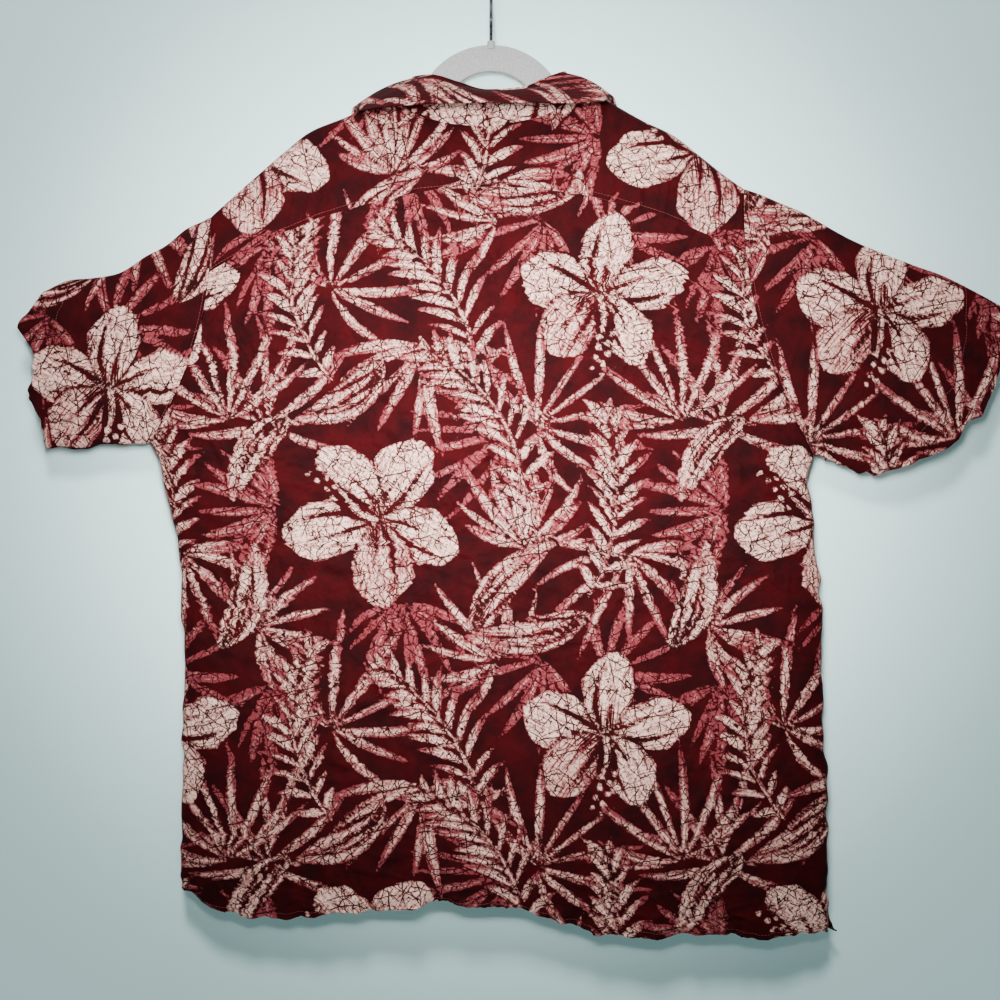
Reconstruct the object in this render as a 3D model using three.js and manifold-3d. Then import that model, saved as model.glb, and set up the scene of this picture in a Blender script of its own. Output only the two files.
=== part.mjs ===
// A short-sleeved hawaiian shirt of size 2XL, with a camp collar, hung on a flocked hanger.
// Millimetres, +Z up. The hook's seat on its rail is the origin. The shirt's back faces -Y,
// so the wearer's left is at -X. Each cloth piece is a wall round a middle surface.
import * as THREE from "three";
import { mergeVertices } from "three/addons/utils/BufferGeometryUtils.js";
import Module from "manifold-3d";

const wasm = await Module();
wasm.setup();

// Cloth
const CLOTH = 1.6;
const COLLAR_CLOTH = 1.8;
const SEAM_GAP = 0.3;
const LAYER = CLOTH + SEAM_GAP;

// How finely the cloth is divided
const RING_STEPS = 12;
const BODY_COLUMNS = 34;
const NECK_FIRST = 12;
const NECK_LAST = 22;
const BACK_YOKE_ROW = 4;
const FRONT_YOKE_ROW = 3;
const HEM_ROW = 28;
const SLEEVE_STEPS = 11;

// Half depth of the hanging cloth at the yoke, the chest and the hem
const YOKE_DEPTH = 13.5;
const CHEST_DEPTH = 17;
const HEM_DEPTH = 19;
const SIDE_ROUNDNESS = 8;
const SLEEVE_ROUNDNESS = 4;
const NECK_ROUNDNESS = 3;

// The crest of each shoulder, from the neck point out to the armhole
const LEFT_SHOULDER = [
  { x: -100, z: -127 },
  { x: -120, z: -136.5 },
  { x: -141, z: -149.5 },
  { x: -179, z: -165 },
  { x: -204, z: -184 },
  { x: -242, z: -217 },
  { x: -280, z: -251 },
];
const RIGHT_SHOULDER = [
  { x: 88, z: -122 },
  { x: 117, z: -135.5 },
  { x: 152, z: -155 },
  { x: 182, z: -169.5 },
  { x: 210, z: -191 },
  { x: 234, z: -210 },
  { x: 253, z: -223 },
];

// The seam round the back of the neck
const BACK_NECK = [
  { x: -100, z: -127 },
  { x: -95, z: -130 },
  { x: -84, z: -144 },
  { x: -61, z: -156 },
  { x: -30, z: -161.5 },
  { x: -4, z: -163 },
  { x: 28, z: -158 },
  { x: 52, z: -152 },
  { x: 74, z: -138 },
  { x: 83, z: -125.5 },
  { x: 88, z: -122 },
];

// Where the front yoke seam meets the neck, the foot of the open neck, and the button stand
const LEFT_NECK_SEAM = { x: -97, z: -160 };
const RIGHT_NECK_SEAM = { x: 86, z: -154 };
const NECK_FOOT_Z = -276;
const BUTTON_STAND = 15;
const PIT_ROW_CENTRE_Z = -462;

// How much higher the yoke seam and the chest run in the middle of the back than at its sides
const YOKE_CROWN = 75;
const CHEST_CROWN = 8;
const CROWN_FALL = 0.8;

// How far the right front lies back under the left one, and where that fades out
const UNDERLAP = 1.5 * LAYER;
const UNDERLAP_END_X = 70;
const UNDERLAP_RISE = 60;

// Outline below the armpits, and the hem
const LEFT_SIDE = [
  { z: -477, x: -341 },
  { z: -500, x: -330 },
  { z: -534, x: -324 },
  { z: -574, x: -313 },
  { z: -734, x: -308 },
  { z: -834, x: -311 },
  { z: -901, x: -309 },
  { z: -928, x: -298 },
];
const RIGHT_SIDE = [
  { z: -490, x: 323 },
  { z: -517, x: 317 },
  { z: -540, x: 322 },
  { z: -634, x: 330 },
  { z: -734, x: 334 },
  { z: -853, x: 337 },
  { z: -962, x: 337 },
];
const HEM = [
  { x: -298, z: -928 },
  { x: -285, z: -937 },
  { x: -250, z: -944 },
  { x: -198, z: -948 },
  { x: -133, z: -940 },
  { x: -91, z: -942 },
  { x: -53, z: -930 },
  { x: -20, z: -940 },
  { x: 9, z: -937 },
  { x: 43, z: -943 },
  { x: 94, z: -960 },
  { x: 133, z: -966 },
  { x: 227, z: -964 },
  { x: 284, z: -968 },
  { x: 337, z: -962 },
];
const VENT_HEIGHT = 85;
const VENT_FLARE = 9;
const VENT_LIFT = 1.3 * LAYER;

// Sleeves, from armhole to cuff: the fold along the top, the fold below, half depth, and how far
// the ring bows back towards the body between the two
const LEFT_SLEEVE = [
  { topX: -280, topZ: -251, underX: -341, underZ: -477, depth: 12, bow: 20 },
  { topX: -305, topZ: -265, underX: -352, underZ: -479, depth: 12, bow: 12 },
  { topX: -334, topZ: -284, underX: -366, underZ: -480, depth: 11.5, bow: 6 },
  { topX: -362, topZ: -303, underX: -383, underZ: -480, depth: 11, bow: 3 },
  { topX: -390, topZ: -312, underX: -403, underZ: -482, depth: 10.5, bow: 0 },
  { topX: -418, topZ: -316, underX: -421, underZ: -484, depth: 10, bow: -4 },
  { topX: -446, topZ: -323, underX: -443, underZ: -482, depth: 9.5, bow: -12 },
];
const RIGHT_SLEEVE = [
  { topX: 253, topZ: -223, underX: 323, underZ: -490, depth: 12, bow: 22 },
  { topX: 290, topZ: -236, underX: 331, underZ: -492, depth: 12, bow: 12 },
  { topX: 331, topZ: -259, underX: 340, underZ: -496, depth: 12, bow: 2 },
  { topX: 376, topZ: -282, underX: 350, underZ: -501, depth: 11.5, bow: -10 },
  { topX: 425, topZ: -302, underX: 360, underZ: -504, depth: 11, bow: -22 },
  { topX: 470, topZ: -318, underX: 371, underZ: -507, depth: 10.5, bow: -34 },
  { topX: 512, topZ: -342, underX: 382, underZ: -508, depth: 10, bow: -45 },
];
const CUFF_CRUMPLE = { at: 0.24, width: 0.12, out: 16 };

// The largest folds, as soft ridges and troughs from one point to another. out is their height.
// side is -1 on the back and 1 on the front.
const FOLDS = [
  { side: -1, x0: -250, z0: -330, x1: -190, z1: -620, width: 34, out: 3.5 },
  { side: -1, x0: -120, z0: -240, x1: -150, z1: -560, width: 40, out: -3 },
  { side: -1, x0: 70, z0: -260, x1: 95, z1: -700, width: 42, out: 3 },
  { side: -1, x0: 300, z0: -500, x1: 150, z1: -560, width: 26, out: 3.5 },
  { side: -1, x0: -300, z0: -500, x1: -170, z1: -540, width: 26, out: 3 },
  { side: -1, x0: 210, z0: -640, x1: 240, z1: -950, width: 36, out: -4 },
  { side: -1, x0: -20, z0: -760, x1: -40, z1: -950, width: 34, out: 4 },
  { side: -1, x0: -200, z0: -780, x1: -210, z1: -950, width: 34, out: -3.5 },
  { side: -1, x0: 90, z0: -820, x1: 100, z1: -960, width: 30, out: -3.5 },
  { side: 1, x0: -230, z0: -330, x1: -200, z1: -800, width: 38, out: 3 },
  { side: 1, x0: 190, z0: -320, x1: 220, z1: -760, width: 38, out: 3.5 },
  { side: 1, x0: -110, z0: -560, x1: -120, z1: -950, width: 36, out: -4 },
  { side: 1, x0: 120, z0: -620, x1: 110, z1: -955, width: 36, out: 4 },
  { side: 1, x0: 290, z0: -500, x1: 150, z1: -600, width: 28, out: 3 },
  { side: 1, x0: -262, z0: -600, x1: -256, z1: -950, width: 20, out: -2.5 },
];

// The collar from its left front end (-1) round the back (0) to its right front end (1): the
// crest of its roll and the free edge of its leaf
const COLLAR = [
  { along: -1, topX: -79, topY: 19, topZ: -190, edgeX: -137, edgeY: 20, edgeZ: -208 },
  { along: -0.8, topX: -87, topY: 18.5, topZ: -160, edgeX: -147, edgeY: 19.5, edgeZ: -190 },
  { along: -0.62, topX: -84, topY: 12, topZ: -124, edgeX: -143, edgeY: 17, edgeZ: -164 },
  { along: -0.5, topX: -77, topY: 0, topZ: -111, edgeX: -137, edgeY: -3, edgeZ: -142 },
  { along: -0.4, topX: -63, topY: -9, topZ: -111, edgeX: -124, edgeY: -26, edgeZ: -150 },
  { along: -0.2, topX: -34, topY: -15.5, topZ: -119.5, edgeX: -68, edgeY: -50, edgeZ: -149 },
  { along: 0, topX: -3, topY: -18, topZ: -128, edgeX: -2, edgeY: -58, edgeZ: -149 },
  { along: 0.2, topX: 30, topY: -17, topZ: -125.5, edgeX: 60, edgeY: -52, edgeZ: -148 },
  { along: 0.4, topX: 60, topY: -9, topZ: -112, edgeX: 108, edgeY: -26, edgeZ: -142 },
  { along: 0.5, topX: 74, topY: 0, topZ: -106, edgeX: 121, edgeY: -3, edgeZ: -131 },
  { along: 0.62, topX: 76, topY: 12, topZ: -119, edgeX: 130, edgeY: 17, edgeZ: -152 },
  { along: 0.8, topX: 77, topY: 18.5, topZ: -154, edgeX: 136, edgeY: 19.5, edgeZ: -181 },
  { along: 1, topX: 70, topY: 19, topZ: -185, edgeX: 126, edgeY: 20, edgeZ: -201 },
];
const COLLAR_ROLL = 2.6;
const LEAF_ARCH = 4;
// Places along the collar of the neck points in front, from its end to the shoulder's crest
const FRONT_NECK_PLACES = [1, 0.8, 0.68, 0.58, 0.5];

// Lapels, pocket and buttons
const LAPEL = {
  topZ: -200,
  leftFootZ: -268,
  rightFootZ: -247,
  width: 50,
  drop: 16,
  edge: 1,
  taper: 0.75,
  steps: 8,
};
const POCKET = { x0: -206, x1: -84, topZ: -352, footZ: -474, point: 14, steps: 6 };
const BUTTON = { radius: 5.8, thickness: 2.8, rim: 0.8, lip: 1.5, holeRadius: 0.9, holeSpacing: 1.5 };
const BUTTON_TOP_Z = -284;
const BUTTON_STEP = 96;
const BUTTON_COUNT = 6;

// Hanger and hook
const HANGER_THICKNESS = 5;
const HANGER_BEVEL = 2;
const NECK_ARCH = { radius: 76, centreZ: -155, halfWidth: 62, band: 27 };
const HANGER_TOP = [
  { x: 72, z: -119 },
  { x: 100, z: -131 },
  { x: 117, z: -139.5 },
  { x: 141, z: -153.5 },
  { x: 152, z: -159 },
  { x: 180, z: -173 },
  { x: 200, z: -187 },
  { x: 214, z: -199 },
];
const ARM_WIDTH = 17;
const ARM_END = { reach: 8, shoulder: 6, side: 16 };
const OPENING_INSET = 6;
const OPENING_START = 0.18;
const BAR_Z = -226;
const BAR_WIDTH = 11;
const NUB = { radius: 4.5, top: -75.5 };
const WIRE_RADIUS = 1.65;
const HOOK_INSIDE_RADIUS = 20;
const HOOK_END_ANGLE = 215;
const HOOK_STEPS = 24;
const SHANK_FOOT_Z = -90;
const SHANK_TOP_Z = -58;

const CLOTH_COLOUR = 0x7a3a3c;
const COLLAR_COLOUR = 0x84484a;
const BUTTON_COLOUR = 0x3f2a1d;
const HANGER_COLOUR = 0xaeb1ad;
const WIRE_COLOUR = 0x17181a;

const { lerp, clamp, smoothstep } = THREE.MathUtils;

// A value read from a table by straight lines between its rows
function read(table, key, at, column) {
  const rising = table[table.length - 1][key] > table[0][key];
  let i = 1;
  while (i < table.length - 1 && (rising ? table[i][key] < at : table[i][key] > at)) i += 1;
  const a = table[i - 1];
  const b = table[i];
  const f = clamp((at - a[key]) / (b[key] - a[key]), 0, 1);
  return lerp(a[column], b[column], f);
}

// A value read from a table by a smooth curve through its rows, by place in the table from 0 to 1
function smooth(table, at, column) {
  const place = clamp(at, 0, 1) * (table.length - 1);
  const i = Math.min(Math.floor(place), table.length - 2);
  const value = (k) => table[clamp(k, 0, table.length - 1)][column];
  const f = place - i;
  const slope0 = (value(i + 1) - value(i - 1)) / 2;
  const slope1 = (value(i + 2) - value(i)) / 2;
  const f2 = f * f;
  const f3 = f2 * f;
  return (
    (2 * f3 - 3 * f2 + 1) * value(i) +
    (f3 - 2 * f2 + f) * slope0 +
    (3 * f2 - 2 * f3) * value(i + 1) +
    (f3 - f2) * slope1
  );
}

// A flattened ring's depth at s from -1 to 1 across it, as a share of its greatest
const flatRing = (s, roundness) => Math.sqrt(Math.max(0, 1 - Math.abs(s) ** roundness));

// Share of the way down an armhole at a row, closer near the folds
function ringShare(row) {
  const turn = (Math.PI * clamp(row, 0, RING_STEPS)) / RING_STEPS;
  return (1 - Math.cos(turn)) / 2;
}

// The folds' height at a place on the back or front
function foldOut(side, x, z) {
  let sum = 0;
  for (const fold of FOLDS) {
    if (fold.side !== side) continue;
    const dx = fold.x1 - fold.x0;
    const dz = fold.z1 - fold.z0;
    const along = ((x - fold.x0) * dx + (z - fold.z0) * dz) / (dx * dx + dz * dz);
    const off = Math.hypot(x - fold.x0 - along * dx, z - fold.z0 - along * dz);
    const start = smoothstep(along, -0.25, 0.3);
    const end = smoothstep(along, 0.85, 1.2);
    sum += fold.out * start * (1 - end) * Math.exp(-((off / fold.width) ** 2));
  }
  return sum;
}

// A point of the armhole seam, at a share from the shoulder to the armpit
function armhole(sleeve, share) {
  const ring = sleeve[0];
  const s = 2 * share - 1;
  const inward = Math.sign(-ring.topX);
  return {
    x: lerp(ring.topX, ring.underX, share) + inward * ring.bow * (1 - s * s),
    z: lerp(ring.topZ, ring.underZ, share),
    depth: ring.depth * flatRing(s, SLEEVE_ROUNDNESS),
  };
}

// The edge of the body at a row: the armhole seam down to the armpit, then the side seam
function bodyEdge(left, row) {
  const sleeve = left ? LEFT_SLEEVE : RIGHT_SLEEVE;
  if (row <= RING_STEPS) return armhole(sleeve, ringShare(row));
  const side = left ? LEFT_SIDE : RIGHT_SIDE;
  const down = (row - RING_STEPS) / (HEM_ROW - RING_STEPS);
  const z = lerp(side[0].z, side[side.length - 1].z, down);
  return { x: read(side, "z", z, "x"), z, depth: 0 };
}

// Half depth in the middle of a row
function rowDepth(row) {
  const down = clamp((row - BACK_YOKE_ROW) / (RING_STEPS - BACK_YOKE_ROW), 0, 1);
  const low = clamp((row - RING_STEPS) / (HEM_ROW - RING_STEPS), 0, 1);
  return lerp(lerp(YOKE_DEPTH, CHEST_DEPTH, down), HEM_DEPTH, low);
}

// Depth of the body at a row and a place across it. The edges keep their own depth.
function bodyDepth(row, x, side, z) {
  const a = bodyEdge(true, row);
  const b = bodyEdge(false, row);
  const share = clamp((x - a.x) / (b.x - a.x), 0, 1);
  const u = 2 * share - 1;
  const edge = lerp(a.depth, b.depth, share);
  const bulge = flatRing(u, SIDE_ROUNDNESS);
  return edge + (rowDepth(row) - edge) * bulge + foldOut(side, x, z) * bulge;
}

// Share of the way across the back at a column, closer near the sides
function columnShare(column) {
  const even = column / BODY_COLUMNS;
  const crowded = (1 - Math.cos(Math.PI * even)) / 2;
  return (even + crowded) / 2;
}

// How much higher a row is in the middle of the back than at its ends
function crown(row) {
  const down = clamp((row - BACK_YOKE_ROW) / (RING_STEPS - BACK_YOKE_ROW), 0, 1);
  return lerp(YOKE_CROWN, CHEST_CROWN, down ** CROWN_FALL) * (1 - hemPull(row));
}

// The back below the yoke
function backPoint(row, column) {
  const a = bodyEdge(true, row);
  const b = bodyEdge(false, row);
  const share = columnShare(column);
  const x = lerp(a.x, b.x, share);
  const arch = 4 * share * (1 - share);
  const level = lerp(a.z, b.z, share);
  const hem = hemPull(row) * (read(HEM, "x", x, "z") - level);
  const z = level + arch * crown(row) + hem;
  return new THREE.Vector3(x, -bodyDepth(row, x, -1, z), z);
}

// Share of the hem's own outline that a row takes on
function hemPull(row) {
  return clamp((row - RING_STEPS) / (HEM_ROW - RING_STEPS), 0, 1) ** 3;
}

// The yoke beside the neck: row 0 is the shoulder's crest, then down the back or the front
function yokePoint(left, side, row, column) {
  const shoulder = left ? LEFT_SHOULDER : RIGHT_SHOULDER;
  const sleeve = left ? LEFT_SLEEVE : RIGHT_SLEEVE;
  const neckColumn = left ? NECK_FIRST : NECK_LAST;
  const edgeColumn = left ? 0 : BODY_COLUMNS;
  const edgeShare = columnShare(edgeColumn);
  const inward = (columnShare(column) - edgeShare) / (columnShare(neckColumn) - edgeShare);
  const crest = { x: smooth(shoulder, 1 - inward, "x"), z: smooth(shoulder, 1 - inward, "z") };
  const seamRow = side < 0 ? BACK_YOKE_ROW : FRONT_YOKE_ROW;
  const seam = side < 0 ? backPoint(seamRow, column) : frontSeamPoint(left, inward);
  const share = ringShare(row) / ringShare(seamRow);
  const at = armhole(sleeve, ringShare(row));
  const end = armhole(sleeve, ringShare(seamRow));
  const start = armhole(sleeve, 0);
  const x = lerp(crest.x, seam.x, share) + (1 - inward) * (at.x - lerp(start.x, end.x, share));
  const z = lerp(crest.z, seam.z, share) + (1 - inward) * (at.z - lerp(start.z, end.z, share));
  const ramp = at.depth / end.depth;
  return new THREE.Vector3(x, side * Math.abs(seam.y) * ramp, z);
}

// The seam between yoke and front, from the armhole (0) to the neck (1)
function frontSeamPoint(left, inward) {
  const neck = left ? LEFT_NECK_SEAM : RIGHT_NECK_SEAM;
  const edge = armhole(left ? LEFT_SLEEVE : RIGHT_SLEEVE, ringShare(FRONT_YOKE_ROW));
  const depth = lerp(edge.depth, YOKE_DEPTH, Math.sqrt(inward));
  return new THREE.Vector3(lerp(edge.x, neck.x, inward), depth, lerp(edge.z, neck.z, inward));
}

// The yoke behind the neck
function neckYokePoint(row, column) {
  const turn = (Math.PI * (column - NECK_FIRST)) / (NECK_LAST - NECK_FIRST);
  const across = (1 - Math.cos(turn)) / 2;
  const x = lerp(LEFT_SHOULDER[0].x, RIGHT_SHOULDER[0].x, across);
  const neckDepth = YOKE_DEPTH * flatRing(2 * across - 1, NECK_ROUNDNESS);
  const top = new THREE.Vector3(x, -neckDepth, read(BACK_NECK, "x", x, "z"));
  const seam = backPoint(BACK_YOKE_ROW, column);
  const share = ringShare(row) / ringShare(BACK_YOKE_ROW);
  const at = armhole(LEFT_SLEEVE, ringShare(row));
  const end = armhole(LEFT_SLEEVE, ringShare(BACK_YOKE_ROW));
  const y = lerp(top.y, seam.y, at.depth / end.depth);
  return new THREE.Vector3(lerp(top.x, seam.x, share), y, lerp(top.z, seam.z, share));
}

// The inner edge of a front: down the open neck, then the button stand
function frontEdge(left, row) {
  const neck = left ? LEFT_NECK_SEAM : RIGHT_NECK_SEAM;
  const outer = bodyEdge(left, row);
  const stand = left ? BUTTON_STAND : -BUTTON_STAND;
  const seamShare = ringShare(FRONT_YOKE_ROW);
  const share = (ringShare(row) - seamShare) / (1 - seamShare);
  const hemZ = read(HEM, "x", stand, "z");
  const down = clamp((row - RING_STEPS) / (HEM_ROW - RING_STEPS), 0, 1);
  const z = lerp(lerp(neck.z, PIT_ROW_CENTRE_Z, share), hemZ, down);
  return { x: edgeAt(left, z), z, outer };
}

// A front: inward is 0 at the side and 1 at its inner edge. The right front passes under the left.
function frontPoint(left, row, inward) {
  const { x: innerX, z: innerZ, outer } = frontEdge(left, row);
  const x = lerp(outer.x, innerX, inward);
  const hem = hemPull(row) * (read(HEM, "x", x, "z") - lerp(outer.z, innerZ, inward));
  const z = lerp(outer.z, innerZ, inward) + hem;
  let depth = bodyDepth(row, x, 1, z);
  if (row <= FRONT_YOKE_ROW) depth = frontSeamPoint(left, inward).y;
  if (left) return new THREE.Vector3(x, depth, z);
  const under = UNDERLAP * (1 - smoothstep(x, BUTTON_STAND + 2, UNDERLAP_END_X));
  const open = smoothstep(z, NECK_FOOT_Z - 10, NECK_FOOT_Z + UNDERLAP_RISE);
  const vent = clamp((ventTop(left) - outer.z) / VENT_HEIGHT, 0, 1);
  const flare = VENT_FLARE * vent * vent * (1 - inward) ** 6;
  depth += Math.min(VENT_LIFT, 3 * flare) - under * (1 - open);
  return new THREE.Vector3(x + flare, depth, z);
}

// Height at which a side seam ends and its vent starts
function ventTop(left) {
  const side = left ? LEFT_SIDE : RIGHT_SIDE;
  return side[side.length - 1].z + VENT_HEIGHT;
}

// Share of the way across a front at one of its columns, closer near the side
function frontShare(left, column) {
  const edge = columnShare(left ? 0 : BODY_COLUMNS);
  const neck = columnShare(left ? NECK_FIRST : NECK_LAST);
  return (columnShare(column) - edge) / (neck - edge);
}

// A sleeve's ring: around runs from 0 at the top fold down the back to 1 below, and on to 2
function sleevePoint(sleeve, along, around) {
  const ring = {};
  for (const column of Object.keys(sleeve[0])) ring[column] = smooth(sleeve, along, column);
  const back = around <= 1;
  const share = back ? around : 2 - around;
  const s = 2 * share - 1;
  const inward = Math.sign(-ring.topX);
  const chord = new THREE.Vector2(ring.underX - ring.topX, ring.underZ - ring.topZ);
  const lean = (chord.x / chord.length()) * along;
  let bow = ring.bow * (1 - s * s);
  if (inward > 0) {
    const off = (share - CUFF_CRUMPLE.at) / CUFF_CRUMPLE.width;
    bow -= CUFF_CRUMPLE.out * along ** 4 * Math.exp(-off * off);
  }
  const x = lerp(ring.topX, ring.underX, share) + inward * bow * Math.sqrt(1 - lean * lean);
  const z = lerp(ring.topZ, ring.underZ, share) + inward * bow * lean;
  const depth = ring.depth * flatRing(s, SLEEVE_ROUNDNESS);
  return new THREE.Vector3(x, back ? -depth : depth, z);
}

// A grid of points as triangles, turned over where flip is true
function patch(rows, columns, point, flip = false) {
  const grid = [];
  for (const row of rows) grid.push(columns.map((column) => point(row, column)));
  const triangles = [];
  for (let i = 0; i < rows.length - 1; i += 1) {
    for (let j = 0; j < columns.length - 1; j += 1) {
      const a = grid[i][j];
      const b = grid[i][j + 1];
      const c = grid[i + 1][j + 1];
      const d = grid[i + 1][j];
      triangles.push(...(flip ? [[a, c, b], [a, d, c]] : [[a, b, c], [a, c, d]]));
    }
  }
  return triangles;
}

// The whole numbers from one to another, up or down
function range(from, to) {
  const step = Math.sign(to - from);
  return Array.from({ length: Math.abs(to - from) + 1 }, (_, i) => from + i * step);
}

// One name for all points within a fiftieth of a millimetre
const key = (p) => [p.x, p.y, p.z].map((value) => Math.round(value * 50)).join();

// Sums the outward directions of all faces that meet at a point, over every piece of a seam
const seamDirections = new Map();
function addDirections(triangles) {
  for (const [a, b, c] of triangles) {
    const normal = b.clone().sub(a).cross(c.clone().sub(a));
    if (normal.length() < 1e-9) continue;
    normal.normalize();
    for (const p of [a, b, c]) {
      const k = key(p);
      if (!seamDirections.has(k)) seamDirections.set(k, new THREE.Vector3());
      seamDirections.get(k).add(normal);
    }
  }
}

// A closed wall round a sheet of triangles, its edges drawn back by half a seam's gap. out moves
// the whole sheet outwards.
function wall(triangles, thickness, out = 0) {
  const index = new Map();
  const points = [];
  const faces = [];
  for (const triangle of triangles) {
    const corner = triangle.map((p) => {
      const k = key(p);
      if (!index.has(k)) {
        index.set(k, points.length);
        points.push(p.clone());
      }
      return index.get(k);
    });
    if (new Set(corner).size === 3) faces.push(corner);
  }
  const normals = points.map((p) => seamDirections.get(key(p)).clone().normalize());
  const edges = new Map();
  for (const [a, b, c] of faces) {
    for (const [p, q] of [[a, b], [b, c], [c, a]]) edges.set(`${p},${q}`, [p, q]);
  }
  const rim = [...edges.values()].filter(([p, q]) => !edges.has(`${q},${p}`));
  const drawBack = points.map(() => new THREE.Vector3());
  for (const [p, q] of rim) {
    for (const i of [p, q]) {
      const along = points[q].clone().sub(points[p]);
      drawBack[i].add(normals[i].clone().cross(along).normalize());
    }
  }
  const layer = (height) =>
    points.map((p, i) => {
      const back = drawBack[i].lengthSq() > 0 ? drawBack[i].clone().setLength(SEAM_GAP / 2) : drawBack[i];
      return p.clone().add(back).addScaledVector(normals[i], out + height);
    });
  const outer = layer(thickness / 2);
  const inner = layer(-thickness / 2);
  const count = points.length;
  const indices = [];
  for (const [a, b, c] of faces) {
    indices.push(a, b, c);
    indices.push(count + a, count + c, count + b);
  }
  for (const [p, q] of rim) {
    indices.push(p, count + p, count + q);
    indices.push(p, count + q, q);
  }
  const geometry = new THREE.BufferGeometry().setFromPoints([...outer, ...inner]);
  geometry.setIndex(indices);
  geometry.computeVertexNormals();
  return geometry;
}

const material = (color, roughness) => new THREE.MeshStandardMaterial({ color, roughness });
const clothMaterial = material(CLOTH_COLOUR, 0.85);
const collarMaterial = material(COLLAR_COLOUR, 0.85);
const buttonMaterial = material(BUTTON_COLOUR, 0.45);
const hangerMaterial = material(HANGER_COLOUR, 0.95);
const wireMaterial = material(WIRE_COLOUR, 0.35);

const shirt = new THREE.Group();
function addMesh(name, geometry, meshMaterial) {
  const mesh = new THREE.Mesh(geometry, meshMaterial);
  mesh.name = name;
  shirt.add(mesh);
  return mesh;
}

// Middle surfaces of the cloth pieces
const leftColumns = range(0, NECK_FIRST);
const rightColumns = range(NECK_LAST, BODY_COLUMNS);
const neckColumns = range(NECK_FIRST, NECK_LAST);

const backSheet = patch(range(BACK_YOKE_ROW, HEM_ROW), range(0, BODY_COLUMNS), backPoint, true);

const yokeSheet = [
  ...patch(range(0, BACK_YOKE_ROW), leftColumns, (row, column) => yokePoint(true, -1, row, column), true),
  ...patch(range(0, BACK_YOKE_ROW), neckColumns, neckYokePoint, true),
  ...patch(range(0, BACK_YOKE_ROW), rightColumns, (row, column) => yokePoint(false, -1, row, column), true),
  ...patch(range(0, FRONT_YOKE_ROW), leftColumns, (row, column) => yokePoint(true, 1, row, column)),
  ...patch(range(0, FRONT_YOKE_ROW), rightColumns, (row, column) => yokePoint(false, 1, row, column)),
];

function frontSheet(left) {
  const columns = left ? leftColumns : rightColumns;
  const point = (row, column) => frontPoint(left, row, frontShare(left, column));
  return patch(range(FRONT_YOKE_ROW, HEM_ROW), columns, point);
}
const leftFrontSheet = frontSheet(true);
const rightFrontSheet = frontSheet(false);

function sleeveSheet(sleeve) {
  const down = range(0, RING_STEPS).map(ringShare);
  const up = range(RING_STEPS - 1, 0).map((step) => 2 - ringShare(step));
  const around = [...down, ...up];
  const along = range(0, SLEEVE_STEPS).map((step) => step / SLEEVE_STEPS);
  return patch(around, along, (a, l) => sleevePoint(sleeve, l, a), sleeve === RIGHT_SLEEVE);
}
const leftSleeveSheet = sleeveSheet(LEFT_SLEEVE);
const rightSleeveSheet = sleeveSheet(RIGHT_SLEEVE);

// The neck seam's points from the left front end of the collar round the back to the right, each
// with its place along the collar
function neckSeam() {
  const seam = [];
  const half = (left) => {
    const column = left ? NECK_FIRST : NECK_LAST;
    const points = [frontPoint(left, BACK_YOKE_ROW, 1)];
    for (const row of range(FRONT_YOKE_ROW, 0)) points.push(yokePoint(left, 1, row, column));
    return points;
  };
  const places = FRONT_NECK_PLACES;
  half(true).forEach((p, i) => seam.push({ p, along: -places[i] }));
  for (const column of neckColumns.slice(1, -1)) {
    const across = (column - NECK_FIRST) / (NECK_LAST - NECK_FIRST);
    seam.push({ p: neckYokePoint(0, column), along: across - 0.5 });
  }
  const right = half(false).reverse();
  right.forEach((p, i) => seam.push({ p, along: places[places.length - 1 - i] }));
  return seam;
}

// The collar: up its stand from the neck seam, over the roll and down the leaf
function collarSection({ p, along }) {
  const at = (column) => read(COLLAR, "along", along, column);
  const top = new THREE.Vector3(at("topX"), at("topY"), at("topZ"));
  const edge = new THREE.Vector3(at("edgeX"), at("edgeY"), at("edgeZ"));
  const out = new THREE.Vector3(edge.x - top.x, edge.y - top.y, 0).normalize();
  const inside = top.clone().addScaledVector(out, -COLLAR_ROLL);
  inside.z -= COLLAR_ROLL;
  const outside = top.clone().addScaledVector(out, COLLAR_ROLL);
  outside.z -= COLLAR_ROLL * 0.7;
  const leaf = (f) => {
    const q = outside.clone().lerp(edge, f);
    q.z += LEAF_ARCH * 4 * f * (1 - f);
    return q;
  };
  const stand = p.clone().lerp(inside, 0.5);
  return [p.clone(), stand, inside, top, outside, leaf(0.33), leaf(0.67), leaf(1)];
}
const collarSections = neckSeam().map(collarSection);
const collarRows = range(0, collarSections.length - 1);
const collarSheet = patch(collarRows, range(0, 7), (i, j) => collarSections[i][j], true);

addDirections(backSheet);
addDirections(yokeSheet);
addDirections(leftFrontSheet);
addDirections(rightFrontSheet);
addDirections(leftSleeveSheet);
addDirections(rightSleeveSheet);
addDirections(collarSheet);

// Cloth pieces
addMesh("back_body", wall(backSheet, CLOTH), clothMaterial);
addMesh("yoke", wall(yokeSheet, CLOTH), clothMaterial);
addMesh("front_left", wall(leftFrontSheet, CLOTH), clothMaterial);
addMesh("front_right", wall(rightFrontSheet, CLOTH), clothMaterial);
addMesh("sleeve_left", wall(leftSleeveSheet, CLOTH), clothMaterial);
addMesh("sleeve_right", wall(rightSleeveSheet, CLOTH), clothMaterial);
addMesh("collar", wall(collarSheet, COLLAR_CLOTH), collarMaterial);

// The front's row at a height, at a share of the way across
function rowAt(left, x, z) {
  let low = FRONT_YOKE_ROW;
  let high = HEM_ROW;
  for (let i = 0; i < 40; i += 1) {
    const row = (low + high) / 2;
    if (frontPoint(left, row, inwardAt(left, row, x)).z > z) low = row;
    else high = row;
  }
  return low;
}

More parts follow.
